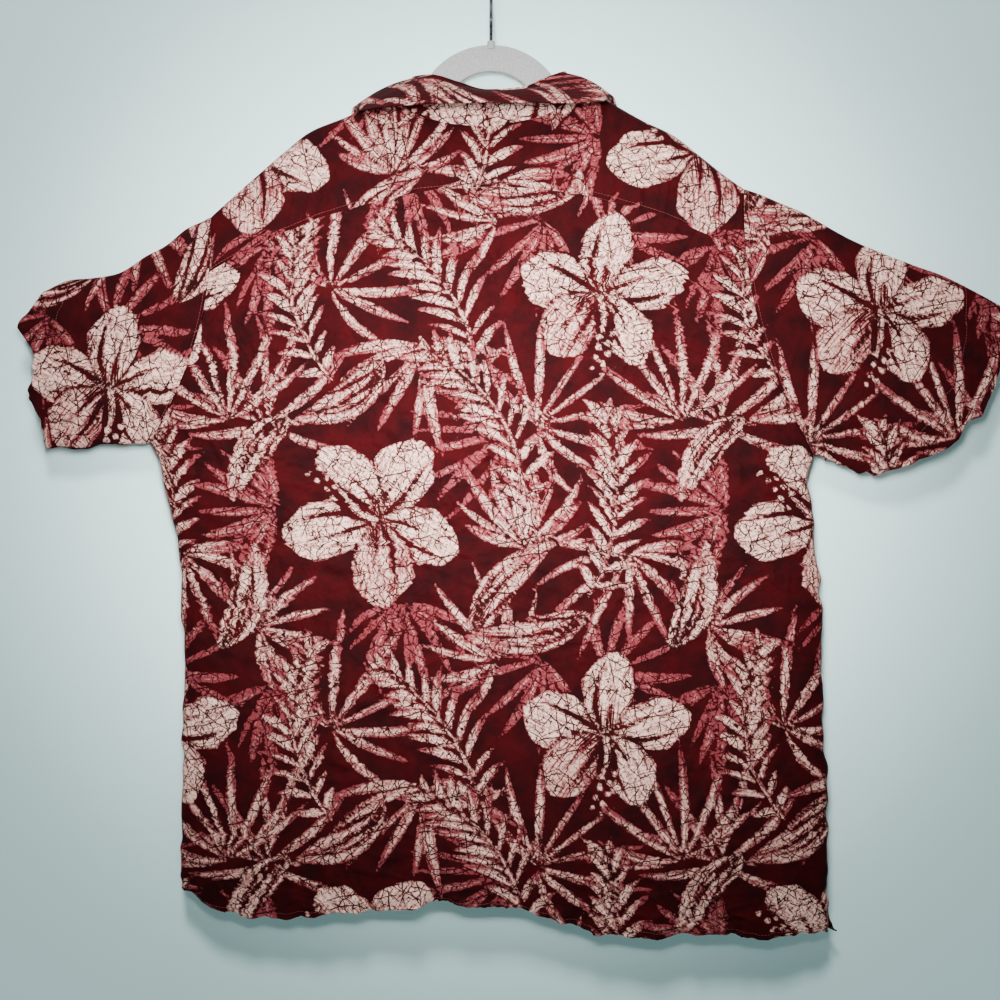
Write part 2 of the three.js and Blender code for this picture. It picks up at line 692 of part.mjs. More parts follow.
function inwardAt(left, row, x) {
  const { x: innerX, outer } = frontEdge(left, row);
  return clamp((x - outer.x) / (innerX - outer.x), 0, 1);
}

// The point of a front's middle surface at a place seen from the front
function frontAt(left, x, z) {
  const row = rowAt(left, x, z);
  return frontPoint(left, row, inwardAt(left, row, x));
}

// The turned-back lapel beside the open neck, lying on its front
function lapelSheet(left) {
  const { topZ, leftFootZ, rightFootZ, width, drop, edge, taper, steps } = LAPEL;
  const footZ = left ? leftFootZ : rightFootZ;
  const outward = left ? -1 : 1;
  const down = range(0, steps).map((i) => i / steps);
  const across = range(0, 4).map((i) => i / 4);
  return patch(down, across, (d, over) => {
    const spread = over * (1 - d) ** taper;
    const z = lerp(topZ, footZ, d);
    const fold = edgeAt(left, z) + outward * edge;
    return frontAt(left, fold + outward * width * spread, z - drop * spread);
  }, left);
}

// Where the inner edge of a front lies at a height
function edgeAt(left, z) {
  const neck = left ? LEFT_NECK_SEAM : RIGHT_NECK_SEAM;
  const stand = left ? BUTTON_STAND : -BUTTON_STAND;
  return lerp(stand, neck.x, clamp((z - NECK_FOOT_Z) / (neck.z - NECK_FOOT_Z), 0, 1));
}

// The chest pocket, with a blunt point below
function pocketSheet() {
  const { x0, x1, topZ, footZ, point, steps } = POCKET;
  const shares = range(0, steps).map((i) => i / steps);
  return patch(shares, shares, (down, across) => {
    const foot = point * down * (1 - Math.abs(2 * across - 1));
    return frontAt(true, lerp(x0, x1, across), lerp(topZ, footZ + point, down) - foot);
  });
}

// A piece that lies on a front
function addOverlay(name, sheet) {
  addDirections(sheet);
  addMesh(name, wall(sheet, CLOTH, LAYER + 0.1), clothMaterial);
}
addOverlay("lapel_left", lapelSheet(true));
addOverlay("lapel_right", lapelSheet(false));
addOverlay("pocket", pocketSheet());

// A solid for joining and cutting, from a closed geometry
function solidOf(geometry) {
  const bare = geometry.index ? geometry.toNonIndexed() : geometry.clone();
  bare.deleteAttribute("normal");
  bare.deleteAttribute("uv");
  const merged = mergeVertices(bare, 1e-4);
  return new wasm.Manifold(
    new wasm.Mesh({
      numProp: 3,
      vertProperties: merged.attributes.position.array,
      triVerts: new Uint32Array(merged.index.array),
    }),
  );
}

function geometryOf(solid) {
  const mesh = solid.getMesh();
  const geometry = new THREE.BufferGeometry();
  const positions = new Float32Array(mesh.numVert * 3);
  for (let i = 0; i < mesh.numVert; i += 1) {
    positions.set(mesh.vertProperties.subarray(i * mesh.numProp, i * mesh.numProp + 3), i * 3);
  }
  geometry.setAttribute("position", new THREE.BufferAttribute(positions, 3));
  geometry.setIndex(new THREE.BufferAttribute(mesh.triVerts, 1));
  return geometry;
}

// A four-hole button, its axis along Y
function buttonGeometry() {
  const { radius, thickness, rim, lip, holeRadius, holeSpacing } = BUTTON;
  const half = thickness / 2;
  const profile = [
    new THREE.Vector2(0, -half),
    new THREE.Vector2(radius - 1, -half),
    new THREE.Vector2(radius, -half + 1),
    new THREE.Vector2(radius, half - 0.6),
    new THREE.Vector2(radius - 0.6, half),
    new THREE.Vector2(radius - lip, half),
    new THREE.Vector2(radius - lip - 0.7, half - rim),
    new THREE.Vector2(0, half - rim),
  ];
  let button = solidOf(new THREE.LatheGeometry(profile, 16));
  for (const sx of [-1, 1]) {
    for (const sz of [-1, 1]) {
      const hole = new THREE.CylinderGeometry(holeRadius, holeRadius, 2 * thickness, 6);
      hole.translate(sx * holeSpacing, 0, sz * holeSpacing);
      button = button.subtract(solidOf(hole));
    }
  }
  return geometryOf(button);
}

const button = buttonGeometry();
for (let i = 0; i < BUTTON_COUNT; i += 1) {
  const z = BUTTON_TOP_Z - i * BUTTON_STEP;
  const mesh = addMesh(`button_${i + 1}`, button, buttonMaterial);
  const face = frontAt(true, 0, z).y + CLOTH / 2;
  mesh.position.set(0, face + SEAM_GAP + BUTTON.thickness / 2 + 0.1, z);
}

// The hanger's plate: arch, sloping arms and trouser bar, open in between
function hangerOutline() {
  const { radius, centreZ, halfWidth } = NECK_ARCH;
  const end = Math.acos(halfWidth / radius);
  const shape = new THREE.Shape();
  const armEnd = HANGER_TOP[HANGER_TOP.length - 1];
  const foot = BAR_Z - BAR_WIDTH;
  const reach = armEnd.x + ARM_END.reach;
  const shoulderZ = armEnd.z - ARM_END.shoulder;
  const sideZ = armEnd.z - ARM_END.side;
  const inwards = HANGER_TOP.slice(0, -1).reverse();
  shape.moveTo(-armEnd.x, armEnd.z);
  inwards.forEach((p) => shape.lineTo(-p.x, p.z));
  shape.lineTo(-halfWidth, centreZ + radius * Math.sin(end));
  shape.absarc(0, centreZ, radius, Math.PI - end, end, true);
  HANGER_TOP.forEach((p) => shape.lineTo(p.x, p.z));
  shape.quadraticCurveTo(reach, shoulderZ, reach, sideZ);
  shape.quadraticCurveTo(reach, foot, reach - ARM_END.side, foot);
  shape.lineTo(ARM_END.side - reach, foot);
  shape.quadraticCurveTo(-reach, foot, -reach, sideZ);
  shape.quadraticCurveTo(-reach, shoulderZ, -armEnd.x, armEnd.z);
  shape.holes.push(hangerOpening());
  return shape;
}

function hangerOpening() {
  const { radius, centreZ, band } = NECK_ARCH;
  const inner = radius - band;
  const hole = new THREE.Path();
  const under = HANGER_TOP.slice(2).map((p) => ({ x: p.x - OPENING_INSET, z: p.z - ARM_WIDTH }));
  const last = under[under.length - 1];
  hole.moveTo(-last.x, last.z);
  hole.lineTo(-last.x, BAR_Z);
  hole.lineTo(last.x, BAR_Z);
  const inwards = [...under].reverse();
  inwards.forEach((p) => hole.lineTo(p.x, p.z));
  hole.absarc(0, centreZ, inner, OPENING_START, Math.PI - OPENING_START, false);
  under.slice(0, -1).forEach((p) => hole.lineTo(-p.x, p.z));
  return hole;
}

function hangerGeometry() {
  const depth = HANGER_THICKNESS - 2 * HANGER_BEVEL;
  const plate = new THREE.ExtrudeGeometry(hangerOutline(), {
    depth,
    bevelEnabled: true,
    bevelThickness: HANGER_BEVEL,
    bevelSize: HANGER_BEVEL,
    bevelOffset: -HANGER_BEVEL,
    bevelSegments: 2,
    curveSegments: 10,
  });
  plate.translate(0, 0, -depth / 2);
  plate.rotateX(Math.PI / 2);
  const top = NECK_ARCH.centreZ + NECK_ARCH.radius;
  const nubHeight = NUB.top - top + 4;
  const nub = new THREE.CylinderGeometry(NUB.radius * 0.8, NUB.radius, nubHeight, 20);
  nub.rotateX(Math.PI / 2);
  nub.translate(0, 0, NUB.top - nubHeight / 2);
  const socket = new THREE.CylinderGeometry(WIRE_RADIUS + SEAM_GAP, WIRE_RADIUS + SEAM_GAP, 40, 16);
  socket.rotateX(Math.PI / 2);
  socket.translate(0, 0, SHANK_FOOT_Z - SEAM_GAP + 20);
  return geometryOf(solidOf(plate).add(solidOf(nub)).subtract(solidOf(socket)));
}

// The hook's wire: up its shank, out and over the rail, in the plane across the shoulders
function hookGeometry() {
  const radius = HOOK_INSIDE_RADIUS + WIRE_RADIUS;
  const arc = THREE.MathUtils.degToRad(HOOK_END_ANGLE);
  const curve = new THREE.CurvePath();
  const start = new THREE.Vector3(0, 0, SHANK_FOOT_Z);
  const bend = new THREE.Vector3(0, 0, SHANK_TOP_Z);
  const side = new THREE.Vector3(0, radius, -HOOK_INSIDE_RADIUS);
  curve.add(new THREE.LineCurve3(start, bend));
  curve.add(
    new THREE.CubicBezierCurve3(
      bend,
      new THREE.Vector3(0, 0, SHANK_TOP_Z + 16),
      new THREE.Vector3(0, radius, -HOOK_INSIDE_RADIUS - 18),
      side,
    ),
  );
  const over = range(0, HOOK_STEPS).map((i) => {
    const angle = (arc * i) / HOOK_STEPS;
    const z = radius * Math.sin(angle) - HOOK_INSIDE_RADIUS;
    return new THREE.Vector3(0, radius * Math.cos(angle), z);
  });
  curve.add(new THREE.CatmullRomCurve3(over));
  const section = new THREE.Shape().absarc(0, 0, WIRE_RADIUS, 0, 2 * Math.PI, false);
  return new THREE.ExtrudeGeometry(section, { extrudePath: curve, steps: 44, curveSegments: 4 });
}

addMesh("hanger", hangerGeometry(), hangerMaterial);
addMesh("hook", hookGeometry(), wireMaterial);

export default shirt;
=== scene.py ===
"""A short-sleeved printed camp shirt on a flocked hanger, seen from its back."""

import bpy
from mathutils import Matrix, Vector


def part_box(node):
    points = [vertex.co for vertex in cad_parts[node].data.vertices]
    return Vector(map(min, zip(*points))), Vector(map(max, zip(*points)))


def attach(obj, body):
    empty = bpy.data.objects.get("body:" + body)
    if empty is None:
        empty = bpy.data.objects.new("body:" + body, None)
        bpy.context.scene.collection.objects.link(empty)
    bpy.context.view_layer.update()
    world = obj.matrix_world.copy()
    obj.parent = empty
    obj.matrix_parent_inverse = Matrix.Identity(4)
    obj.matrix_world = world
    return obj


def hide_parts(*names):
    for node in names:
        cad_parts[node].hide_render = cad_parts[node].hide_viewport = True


bl_info = {
    "name": "Hawaiian shirt",
    "version": (1, 0, 0),
    "blender": (4, 5, 0),
    "location": "View3D > Sidebar > Shirt",
    "description": "Builds a printed hawaiian shirt on its hanger around the packed frame",
    "category": "Object",
}

import math

import bmesh
import bpy
import numpy as np
from mathutils import Vector

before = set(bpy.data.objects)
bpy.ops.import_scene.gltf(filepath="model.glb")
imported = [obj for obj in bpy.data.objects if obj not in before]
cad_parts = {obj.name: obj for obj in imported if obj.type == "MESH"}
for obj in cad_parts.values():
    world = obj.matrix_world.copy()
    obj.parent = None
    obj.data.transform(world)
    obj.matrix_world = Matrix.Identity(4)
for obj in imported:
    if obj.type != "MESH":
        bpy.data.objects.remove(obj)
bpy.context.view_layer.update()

MM = 0.001
BODY = "root"

# The shirt's form, in millimetres, as in its solids: tables with named columns, and the surfaces
# worked out from them. The origin is the hook's seat, the back faces -Y.

RING_STEPS = 12
BODY_COLUMNS = 34
NECK_FIRST = 12
NECK_LAST = 22
BACK_YOKE_ROW = 4
FRONT_YOKE_ROW = 3
HEM_ROW = 28
YOKE_DEPTH = 13.5
CHEST_DEPTH = 17.0
HEM_DEPTH = 19.0
SIDE_ROUNDNESS = 8
SLEEVE_ROUNDNESS = 4
NECK_ROUNDNESS = 3
YOKE_CROWN = 75.0
CHEST_CROWN = 8.0
CROWN_FALL = 0.8

LEFT_SHOULDER = {
    "x": (-100, -120, -141, -179, -204, -242, -280),
    "z": (-127, -136.5, -149.5, -165, -184, -217, -251),
}
RIGHT_SHOULDER = {
    "x": (88, 117, 152, 182, 210, 234, 253),
    "z": (-122, -135.5, -155, -169.5, -191, -210, -223),
}
BACK_NECK = {
    "x": (-100, -95, -84, -61, -30, -4, 28, 52, 74, 83, 88),
    "z": (-127, -130, -144, -156, -161.5, -163, -158, -152, -138, -125.5, -122),
}
LEFT_NECK_SEAM = (-97, -160)
RIGHT_NECK_SEAM = (86, -154)
NECK_FOOT_Z = -276.0
BUTTON_STAND = 15.0
PIT_ROW_CENTRE_Z = -462.0
LEFT_SIDE = {
    "z": (-477, -500, -534, -574, -734, -834, -901, -928),
    "x": (-341, -330, -324, -313, -308, -311, -309, -298),
}
RIGHT_SIDE = {
    "z": (-490, -517, -540, -634, -734, -853, -962),
    "x": (323, 317, 322, 330, 334, 337, 337),
}
HEM = {
    "x": (-298, -285, -250, -198, -133, -91, -53, -20, 9, 43, 94, 133, 227, 284, 337),
    "z": (-928, -937, -944, -948, -940, -942, -930, -940, -937, -943, -960, -966, -964, -968, -962),
}
VENT_HEIGHT = 85.0
VENT_FLARE = 9.0
UNDERLAP = 1.9
LEFT_SLEEVE = {
    "top_x": (-280, -305, -334, -362, -390, -418, -446),
    "top_z": (-251, -265, -284, -303, -312, -316, -323),
    "under_x": (-341, -352, -366, -383, -403, -421, -443),
    "under_z": (-477, -479, -480, -480, -482, -484, -482),
    "depth": (12, 12, 11.5, 11, 10.5, 10, 9.5),
    "bow": (20, 12, 6, 3, 0, -4, -12),
}
RIGHT_SLEEVE = {
    "top_x": (253, 290, 331, 376, 425, 470, 512),
    "top_z": (-223, -236, -259, -282, -302, -318, -342),
    "under_x": (323, 331, 340, 350, 360, 371, 382),
    "under_z": (-490, -492, -496, -501, -504, -507, -508),
    "depth": (12, 12, 12, 11.5, 11, 10.5, 10),
    "bow": (22, 12, 2, -10, -22, -34, -45),
}
CUFF_CRUMPLE = {"at": 0.24, "width": 0.12, "out": 16.0}
COLLAR = {
    "along": (-1, -0.8, -0.62, -0.5, -0.4, -0.2, 0, 0.2, 0.4, 0.5, 0.62, 0.8, 1),
    "top_x": (-79, -87, -84, -77, -63, -34, -3, 30, 60, 74, 76, 77, 70),
    "top_y": (19, 18.5, 12, 0, -9, -15.5, -18, -17, -9, 0, 12, 18.5, 19),
    "top_z": (-190, -160, -124, -111, -111, -119.5, -128, -125.5, -112, -106, -119, -154, -185),
    "edge_x": (-137, -147, -143, -137, -124, -68, -2, 60, 108, 121, 130, 136, 126),
    "edge_y": (20, 19.5, 17, -3, -26, -50, -58, -52, -26, -3, 17, 19.5, 20),
    "edge_z": (-208, -190, -164, -142, -150, -149, -149, -148, -142, -131, -152, -181, -201),
}
COLLAR_ROLL = 2.6
LEAF_ARCH = 4.0
FRONT_NECK_PLACES = (1, 0.8, 0.68, 0.58, 0.5)
LAPEL = {
    "top_z": -200, "left_foot_z": -268, "right_foot_z": -247,
    "width": 50, "drop": 16, "edge": 1, "taper": 0.75,
}
POCKET = {"x0": -206, "x1": -84, "top_z": -352, "foot_z": -474, "point": 14}
BUTTON = {
    "radius": 5.8, "thickness": 2.8, "rim": 0.8, "lip": 1.5, "dish": 0.7,
    "bevel": 0.5, "hole_radius": 0.9, "hole_spacing": 1.5, "thread_radius": 0.34,
}
BUTTONHOLE = {"half_width": 1.1, "half_height": 8.4, "bar_z": 9.0, "bar_half": 1.6}
HOOK = {
    "inside": 20, "wire": 1.65, "end_angle": 215, "parts": 4, "foot": -90, "bend": -58,
    "foot_handle": 8, "bend_handle": 16, "start_handle": 18, "end_inset": 0.7, "end_rise": 0.3,
}
BUTTON_TOP_Z = -284.0
BUTTON_STEP = 96.0
BUTTON_COUNT = 6

# Folds and creases: from one point to another, their width and height, on the back (-1) or front (1)
CREASE_COLUMNS = ("side", "x0", "z0", "x1", "z1", "width", "out")
CREASES = (
    # The largest folds, as in the solids
    (-1, -250, -330, -190, -620, 34, 3.5),
    (-1, -120, -240, -150, -560, 40, -3),
    (-1, 70, -260, 95, -700, 42, 3),
    (-1, 300, -500, 150, -560, 26, 3.5),
    (-1, -300, -500, -170, -540, 26, 3),
    (-1, 210, -640, 240, -950, 36, -4),
    (-1, -20, -760, -40, -950, 34, 4),
    (-1, -200, -780, -210, -950, 34, -3.5),
    (-1, 90, -820, 100, -960, 30, -3.5),
    (1, -230, -330, -200, -800, 38, 3),
    (1, 190, -320, 220, -760, 38, 3.5),
    (1, -110, -560, -120, -950, 36, -4),
    (1, 120, -620, 110, -955, 36, 4),
    (1, 290, -500, 150, -600, 28, 3),
    (1, -262, -600, -256, -950, 20, -2.5),
    # Drag lines from the armpits
    (-1, 305, -480, 210, -430, 7, 2.7),
    (-1, 312, -505, 225, -520, 8, -2.5),
    (-1, 305, -530, 235, -590, 7, 2.2),
    (-1, -322, -470, -232, -418, 8, 2.9),
    (-1, -318, -498, -228, -505, 7, -2.4),
    (-1, -310, -520, -240, -575, 8, 2.2),
    (1, 305, -485, 220, -440, 8, 2.5),
    (1, -318, -480, -235, -430, 8, 2.7),
    (1, -312, -505, -240, -540, 7, -2.4),
    (1, 308, -510, 240, -560, 7, -2.0),
    # Short creases across the back and fronts, left from wear and folding
    (-1, -175, -300, -120, -315, 6, 1.3),
    (-1, 40, -330, 122, -318, 6, -1.3),
    (-1, -60, -420, 20, -436, 7, 1.3),
    (-1, 120, -470, 186, -500, 6, 1.1),
    (-1, -210, -610, -120, -600, 7, -1.3),
    (-1, -30, -600, 60, -622, 6, 1.1),
    (-1, 130, -680, 215, -664, 7, 1.4),
    (-1, -160, -720, -86, -748, 6, 1.3),
    (-1, 20, -772, 92, -760, 6, -1.3),
    (-1, 225, -800, 290, -822, 7, 1.3),
    (-1, -285, -690, -240, -730, 6, 1.4),
    (-1, 280, -610, 318, -650, 6, 1.4),
    (1, -150, -320, -80, -330, 6, 1.3),
    (1, 60, -420, 150, -436, 7, 1.3),
    (1, -60, -560, -150, -545, 6, -1.3),
    (1, 90, -700, 170, -680, 7, 1.4),
    (1, -250, -700, -180, -740, 6, 1.3),
    (1, 200, -840, 270, -860, 7, -1.3),
    # Long soft ripples that hang from the shoulders and end at the hem
    (-1, -210, -215, -228, -400, 11, 1.2),
    (-1, 165, -205, 190, -390, 12, 1.3),
    (-1, -64, -250, -58, -470, 13, 0.9),
    (-1, 14, -240, 22, -520, 12, -0.9),
    (-1, 150, -520, 168, -770, 13, 1.2),
    (-1, -105, -560, -122, -860, 14, 1.3),
    (-1, 20, -840, 34, -950, 10, 1.6),
    (-1, -90, -860, -96, -952, 9, -1.6),
    (-1, 160, -870, 166, -966, 9, 1.7),
    (-1, -255, -850, -262, -948, 9, 1.5),
    (-1, 285, -860, 292, -968, 9, -1.5),
    (-1, 44, -880, 58, -956, 8, -1.4),
    (-1, -150, -880, -160, -948, 8, 1.4),
    (1, -190, -205, -205, -330, 12, 1.3),
    (1, 165, -205, 186, -380, 12, 1.3),
    (1, -60, -330, -66, -560, 12, 1.1),
    (1, 58, -340, 66, -600, 12, 1.1),
    (1, 180, -780, 196, -960, 10, -1.5),
    (1, -210, -820, -214, -948, 10, 1.6),
    (1, 60, -850, 64, -950, 9, 1.4),
    (1, -50, -870, -56, -940, 9, -1.4),
)
# Small wrinkles: the way that they run in degrees, their length and their width
WRINKLES = ((12, 34, 9), (64, 40, 10), (118, 30, 8), (158, 44, 11))
# Heights of the small forms: wrinkles and ripples of the cloth, waves of seams, hems and cuffs
BODY_WRINKLE = 2.3
YOKE_WRINKLE = 1.6
NECK_WRINKLE = 1.0
SLEEVE_WRINKLE = 2.1
SOFT_RIPPLE = 0.55
FINE_RIPPLE = 0.3
YOKE_RIPPLE = 0.9
ARMHOLE_PUCKER = 0.8
SIDE_PUCKER = 3.0
SIDE_SEAM_PUCKER = 1.8
YOKE_GATHER = 0.9
HEM_CURL = 2.2
HEM_WAVE = 3.2
HEM_FINE_WAVE = 1.6
CUFF_WAVE = 4.0
CUFF_FINE_WAVE = 2.2
CUFF_CURL = 2.2
TOP_FOLD_WAVE = 2.4
UNDER_FOLD_WAVE = 2.2
# Creases on the sleeves: place along from armhole to cuff, place around, as shares of each
SLEEVE_CREASE_COLUMNS = ("along0", "around0", "along1", "around1", "width", "out")
SLEEVE_CREASES = (
    (0.05, 0.25, 0.75, 0.12, 0.035, 1.5),
    (0.0, 0.48, 0.9, 0.34, 0.045, -1.6),
    (0.1, 0.68, 1.0, 0.55, 0.04, 1.6),
    (0.0, 0.86, 0.6, 0.74, 0.035, 1.3),
    (0.5, 0.9, 1.05, 0.82, 0.03, -1.2),
    (0.45, 0.2, 1.05, 0.26, 0.03, 1.2),
    (0.1, 1.3, 0.8, 1.18, 0.04, 1.5),
    (0.0, 1.55, 0.95, 1.46, 0.045, -1.6),
    (0.1, 1.8, 0.9, 1.7, 0.04, 1.5),
    (0.0, 0.93, 0.45, 0.8, 0.03, 2.4),
    (0.02, 0.84, 0.5, 0.92, 0.025, -2.0),
    (0.0, 0.1, 0.5, 0.16, 0.03, 1.8),
    (0.55, 0.5, 1.0, 0.62, 0.03, 1.4),
    (0.6, 0.75, 1.05, 0.66, 0.028, -1.4),
)


def hermite(t, a, b, slope_a, slope_b):
    """The smooth curve from a to b with those slopes."""
    t2, t3 = t * t, t * t * t
    return (
        (2 * t3 - 3 * t2 + 1) * a
        + (t3 - 2 * t2 + t) * slope_a
        + (3 * t2 - 2 * t3) * b
        + (t3 - t2) * slope_b
    )


def read(table, key, at, column):
    """A column of a table at a value of its key, by a curve that doesn't overshoot its rows."""
    x, y = np.array(table[key], float), np.array(table[column], float)
    if x[-1] < x[0]:
        x, y = x[::-1], y[::-1]
    step = np.diff(x)
    slope = np.diff(y) / step
    bend = np.zeros_like(y)
    same = slope[:-1] * slope[1:] > 0
    both = np.where(same, slope[:-1] + slope[1:], 1)
    bend[1:-1] = np.where(same, 2 * slope[:-1] * slope[1:] / both, 0)
    bend[0], bend[-1] = slope[0], slope[-1]
    at = np.clip(at, x[0], x[-1])
    i = np.clip(np.searchsorted(x, at) - 1, 0, len(step) - 1)
    return hermite((at - x[i]) / step[i], y[i], y[i + 1], bend[i] * step[i], bend[i + 1] * step[i])


def smooth(values, at):
    """A smooth curve through a list of values, by place in it from 0 to 1."""
    values = np.array(values, float)
    last = len(values) - 1
    place = np.clip(at, 0, 1) * last
    i = np.minimum(np.floor(place).astype(int), last - 1)
    before, after = values[np.maximum(i - 1, 0)], values[np.minimum(i + 2, last)]
    start, end = values[i], values[i + 1]
    return hermite(place - i, start, end, (end - before) / 2, (after - start) / 2)


def lerp(a, b, share):
    return a + (b - a) * share


def ramp(value, start, end):
    """0 before start, 1 after end, smooth in between."""
    t = np.clip((value - start) / (end - start), 0, 1)
    return t * t * (3 - 2 * t)


def ripple(u, v, seed):
    """Smooth random heights from -1 to 1 over a plane whose lattice has a spacing of 1."""
    heights = np.random.default_rng(seed).uniform(-1, 1, (64, 64))
    i, j = np.floor(u).astype(int), np.floor(v).astype(int)
    fu, fv = u - i, v - j
    fu, fv = fu * fu * (3 - 2 * fu), fv * fv * (3 - 2 * fv)
    low = lerp(heights[i % 64, j % 64], heights[(i + 1) % 64, j % 64], fu)
    high = lerp(heights[i % 64, (j + 1) % 64], heights[(i + 1) % 64, (j + 1) % 64], fu)
    return lerp(low, high, fv)


def waves(place, seed):
    """Smooth random heights from -1 to 1 along a line, with one turn in each unit."""
    return ripple(place, 0 * place, seed)


def crumple(x, z, seed):
    """Short crisp wrinkles that run several ways, in patches: heights from about 0 to 1."""
    total = 0
    for i, (turn, length, width) in enumerate(WRINKLES):
        a = math.radians(turn)
        along, across = x * math.cos(a) + z * math.sin(a), z * math.cos(a) - x * math.sin(a)
        ridge = (1 - np.abs(ripple(along / length, across / width, seed + 7 * i))) ** 5
        total = total + ridge * ramp(ripple(x / 47, z / 61, seed + 7 * i + 3), -0.25, 0.5)
    return total


def points(x, y, z):
    return np.stack(np.broadcast_arrays(x, y, z), axis=-1).astype(float)


def flat_ring(s, roundness):
    """A flattened ring's depth at s from -1 to 1 across it, as a share of its greatest."""
    return np.sqrt(np.maximum(0, 1 - np.abs(s) ** roundness))


def ring_share(row):
    return (1 - np.cos(np.pi * np.clip(row, 0, RING_STEPS) / RING_STEPS)) / 2


def ring_row(share):
    """The row at a share of the way down an armhole."""
    return np.arccos(1 - 2 * np.clip(share, 0, 1)) * RING_STEPS / np.pi


def crease_out(side, x, z):
    """Height of the folds, creases and crumple at a place on the back or front."""
    total = SOFT_RIPPLE * ripple(x / 21 + z / 160, z / 34, 11 + side)
    total = total + FINE_RIPPLE * ripple(x / 9, z / 12, 23 + side)
    total = total + BODY_WRINKLE * crumple(x, z, 100 + side)
    for values in CREASES:
        crease = dict(zip(CREASE_COLUMNS, values))
        if crease["side"] != side:
            continue
        dx, dz = crease["x1"] - crease["x0"], crease["z1"] - crease["z0"]
        along = ((x - crease["x0"]) * dx + (z - crease["z0"]) * dz) / (dx * dx + dz * dz)
        off = np.hypot(x - crease["x0"] - along * dx, z - crease["z0"] - along * dz)
        fade = ramp(along, -0.25, 0.3) * (1 - ramp(along, 0.85, 1.2))
        total = total + crease["out"] * fade * np.exp(-((off / crease["width"]) ** 2))
    return total


def sleeve_of(left):
    return LEFT_SLEEVE if left else RIGHT_SLEEVE


def pucker(share, seed):
    """The small uneven waves of a sewn edge, along its length as a share."""
    return 0.6 * waves(share * 26, seed) + 0.4 * waves(share * 11, seed + 1)


def armhole(left, share):
    """Across, height and half depth of the armhole seam, from the shoulder to the armpit."""
    sleeve = sleeve_of(left)
    s = 2 * share - 1
    inward = 1 if left else -1
    x = lerp(sleeve["top_x"][0], sleeve["under_x"][0], share) + inward * sleeve["bow"][0] * (1 - s * s)
    z = lerp(sleeve["top_z"][0], sleeve["under_z"][0], share)
    depth = sleeve["depth"][0] * flat_ring(s, SLEEVE_ROUNDNESS)
    return x, z, depth + ARMHOLE_PUCKER * pucker(share, 31) * (1 - s**8)


def body_edge(left, row):
    """The edge of the body at a row: the armhole down to the armpit, then the side seam."""
    x, z, depth = armhole(left, ring_share(row))
    side = LEFT_SIDE if left else RIGHT_SIDE
    down = np.clip((row - RING_STEPS) / (HEM_ROW - RING_STEPS), 0, 1)
    side_z = lerp(side["z"][0], side["z"][-1], down)
    below = row > RING_STEPS
    uneven = SIDE_PUCKER * pucker(down * 1.4, 37 if left else 41) * ramp(down, 0, 0.05)
    side_x = read(side, "z", side_z, "x") + uneven
    return np.where(below, side_x, x), np.where(below, side_z, z), np.where(below, 0, depth)


def row_depth(row):
    down = np.clip((row - BACK_YOKE_ROW) / (RING_STEPS - BACK_YOKE_ROW), 0, 1)
    low = np.clip((row - RING_STEPS) / (HEM_ROW - RING_STEPS), 0, 1)
    return lerp(lerp(YOKE_DEPTH, CHEST_DEPTH, down), HEM_DEPTH, low)


def body_depth(row, x, side, z):
    ax, _, a_depth = body_edge(True, row)
    bx, _, b_depth = body_edge(False, row)
    share = np.clip((x - ax) / (bx - ax), 0, 1)
    edge = lerp(a_depth, b_depth, share)
    bulge = flat_ring(2 * share - 1, SIDE_ROUNDNESS)
    near = np.minimum(x - ax, bx - x)
    beside_seam = np.exp(-near / 20) * (1 - np.exp(-np.maximum(near, 0) / 5))
    seam = SIDE_SEAM_PUCKER * ripple(z / 6.5, x / 50, 81 + side) * beside_seam
    curl = HEM_CURL * waves(x / 19, 83 + side) * ramp(row, HEM_ROW - 1.6, HEM_ROW)
    yoke_row = BACK_YOKE_ROW if side < 0 else FRONT_YOKE_ROW
    below_yoke = np.exp(-np.abs(row - yoke_row) * 1.6) * ramp(row, yoke_row, yoke_row + 0.3)
    gather = YOKE_GATHER * waves(x / 8, 85 + side) * below_yoke
    return edge + (row_depth(row) - edge) * bulge + (crease_out(side, x, z) + seam + curl + gather) * bulge


def column_share(column):
    even = column / BODY_COLUMNS
    return (even + (1 - np.cos(np.pi * even)) / 2) / 2


def hem_pull(row):
    return np.clip((row - RING_STEPS) / (HEM_ROW - RING_STEPS), 0, 1) ** 3


def hem_height(x):
    """The hem's own outline, with its small waves."""
    return read(HEM, "x", x, "z") + HEM_WAVE * waves(x / 17, 51) + HEM_FINE_WAVE * waves(x / 7, 52)


def back_point(row, column):
    """The back below the yoke."""
    ax, az, _ = body_edge(True, row)
    bx, bz, _ = body_edge(False, row)
    share = column_share(column)
    x = lerp(ax, bx, share)
    level = lerp(az, bz, share)
    down = np.clip((row - BACK_YOKE_ROW) / (RING_STEPS - BACK_YOKE_ROW), 0, 1)
    crown = lerp(YOKE_CROWN, CHEST_CROWN, down**CROWN_FALL) * (1 - hem_pull(row))
    z = level + 4 * share * (1 - share) * crown + hem_pull(row) * (hem_height(x) - level)
    return points(x, -body_depth(row, x, -1, z), z)


def front_seam(left, inward):
    """The seam between yoke and front, from the armhole (0) to the neck (1)."""
    neck = LEFT_NECK_SEAM if left else RIGHT_NECK_SEAM
    x, z, depth = armhole(left, ring_share(np.float64(FRONT_YOKE_ROW)))
    y = lerp(depth, YOKE_DEPTH, np.sqrt(inward))
    return points(lerp(x, neck[0], inward), y, lerp(z, neck[1], inward))


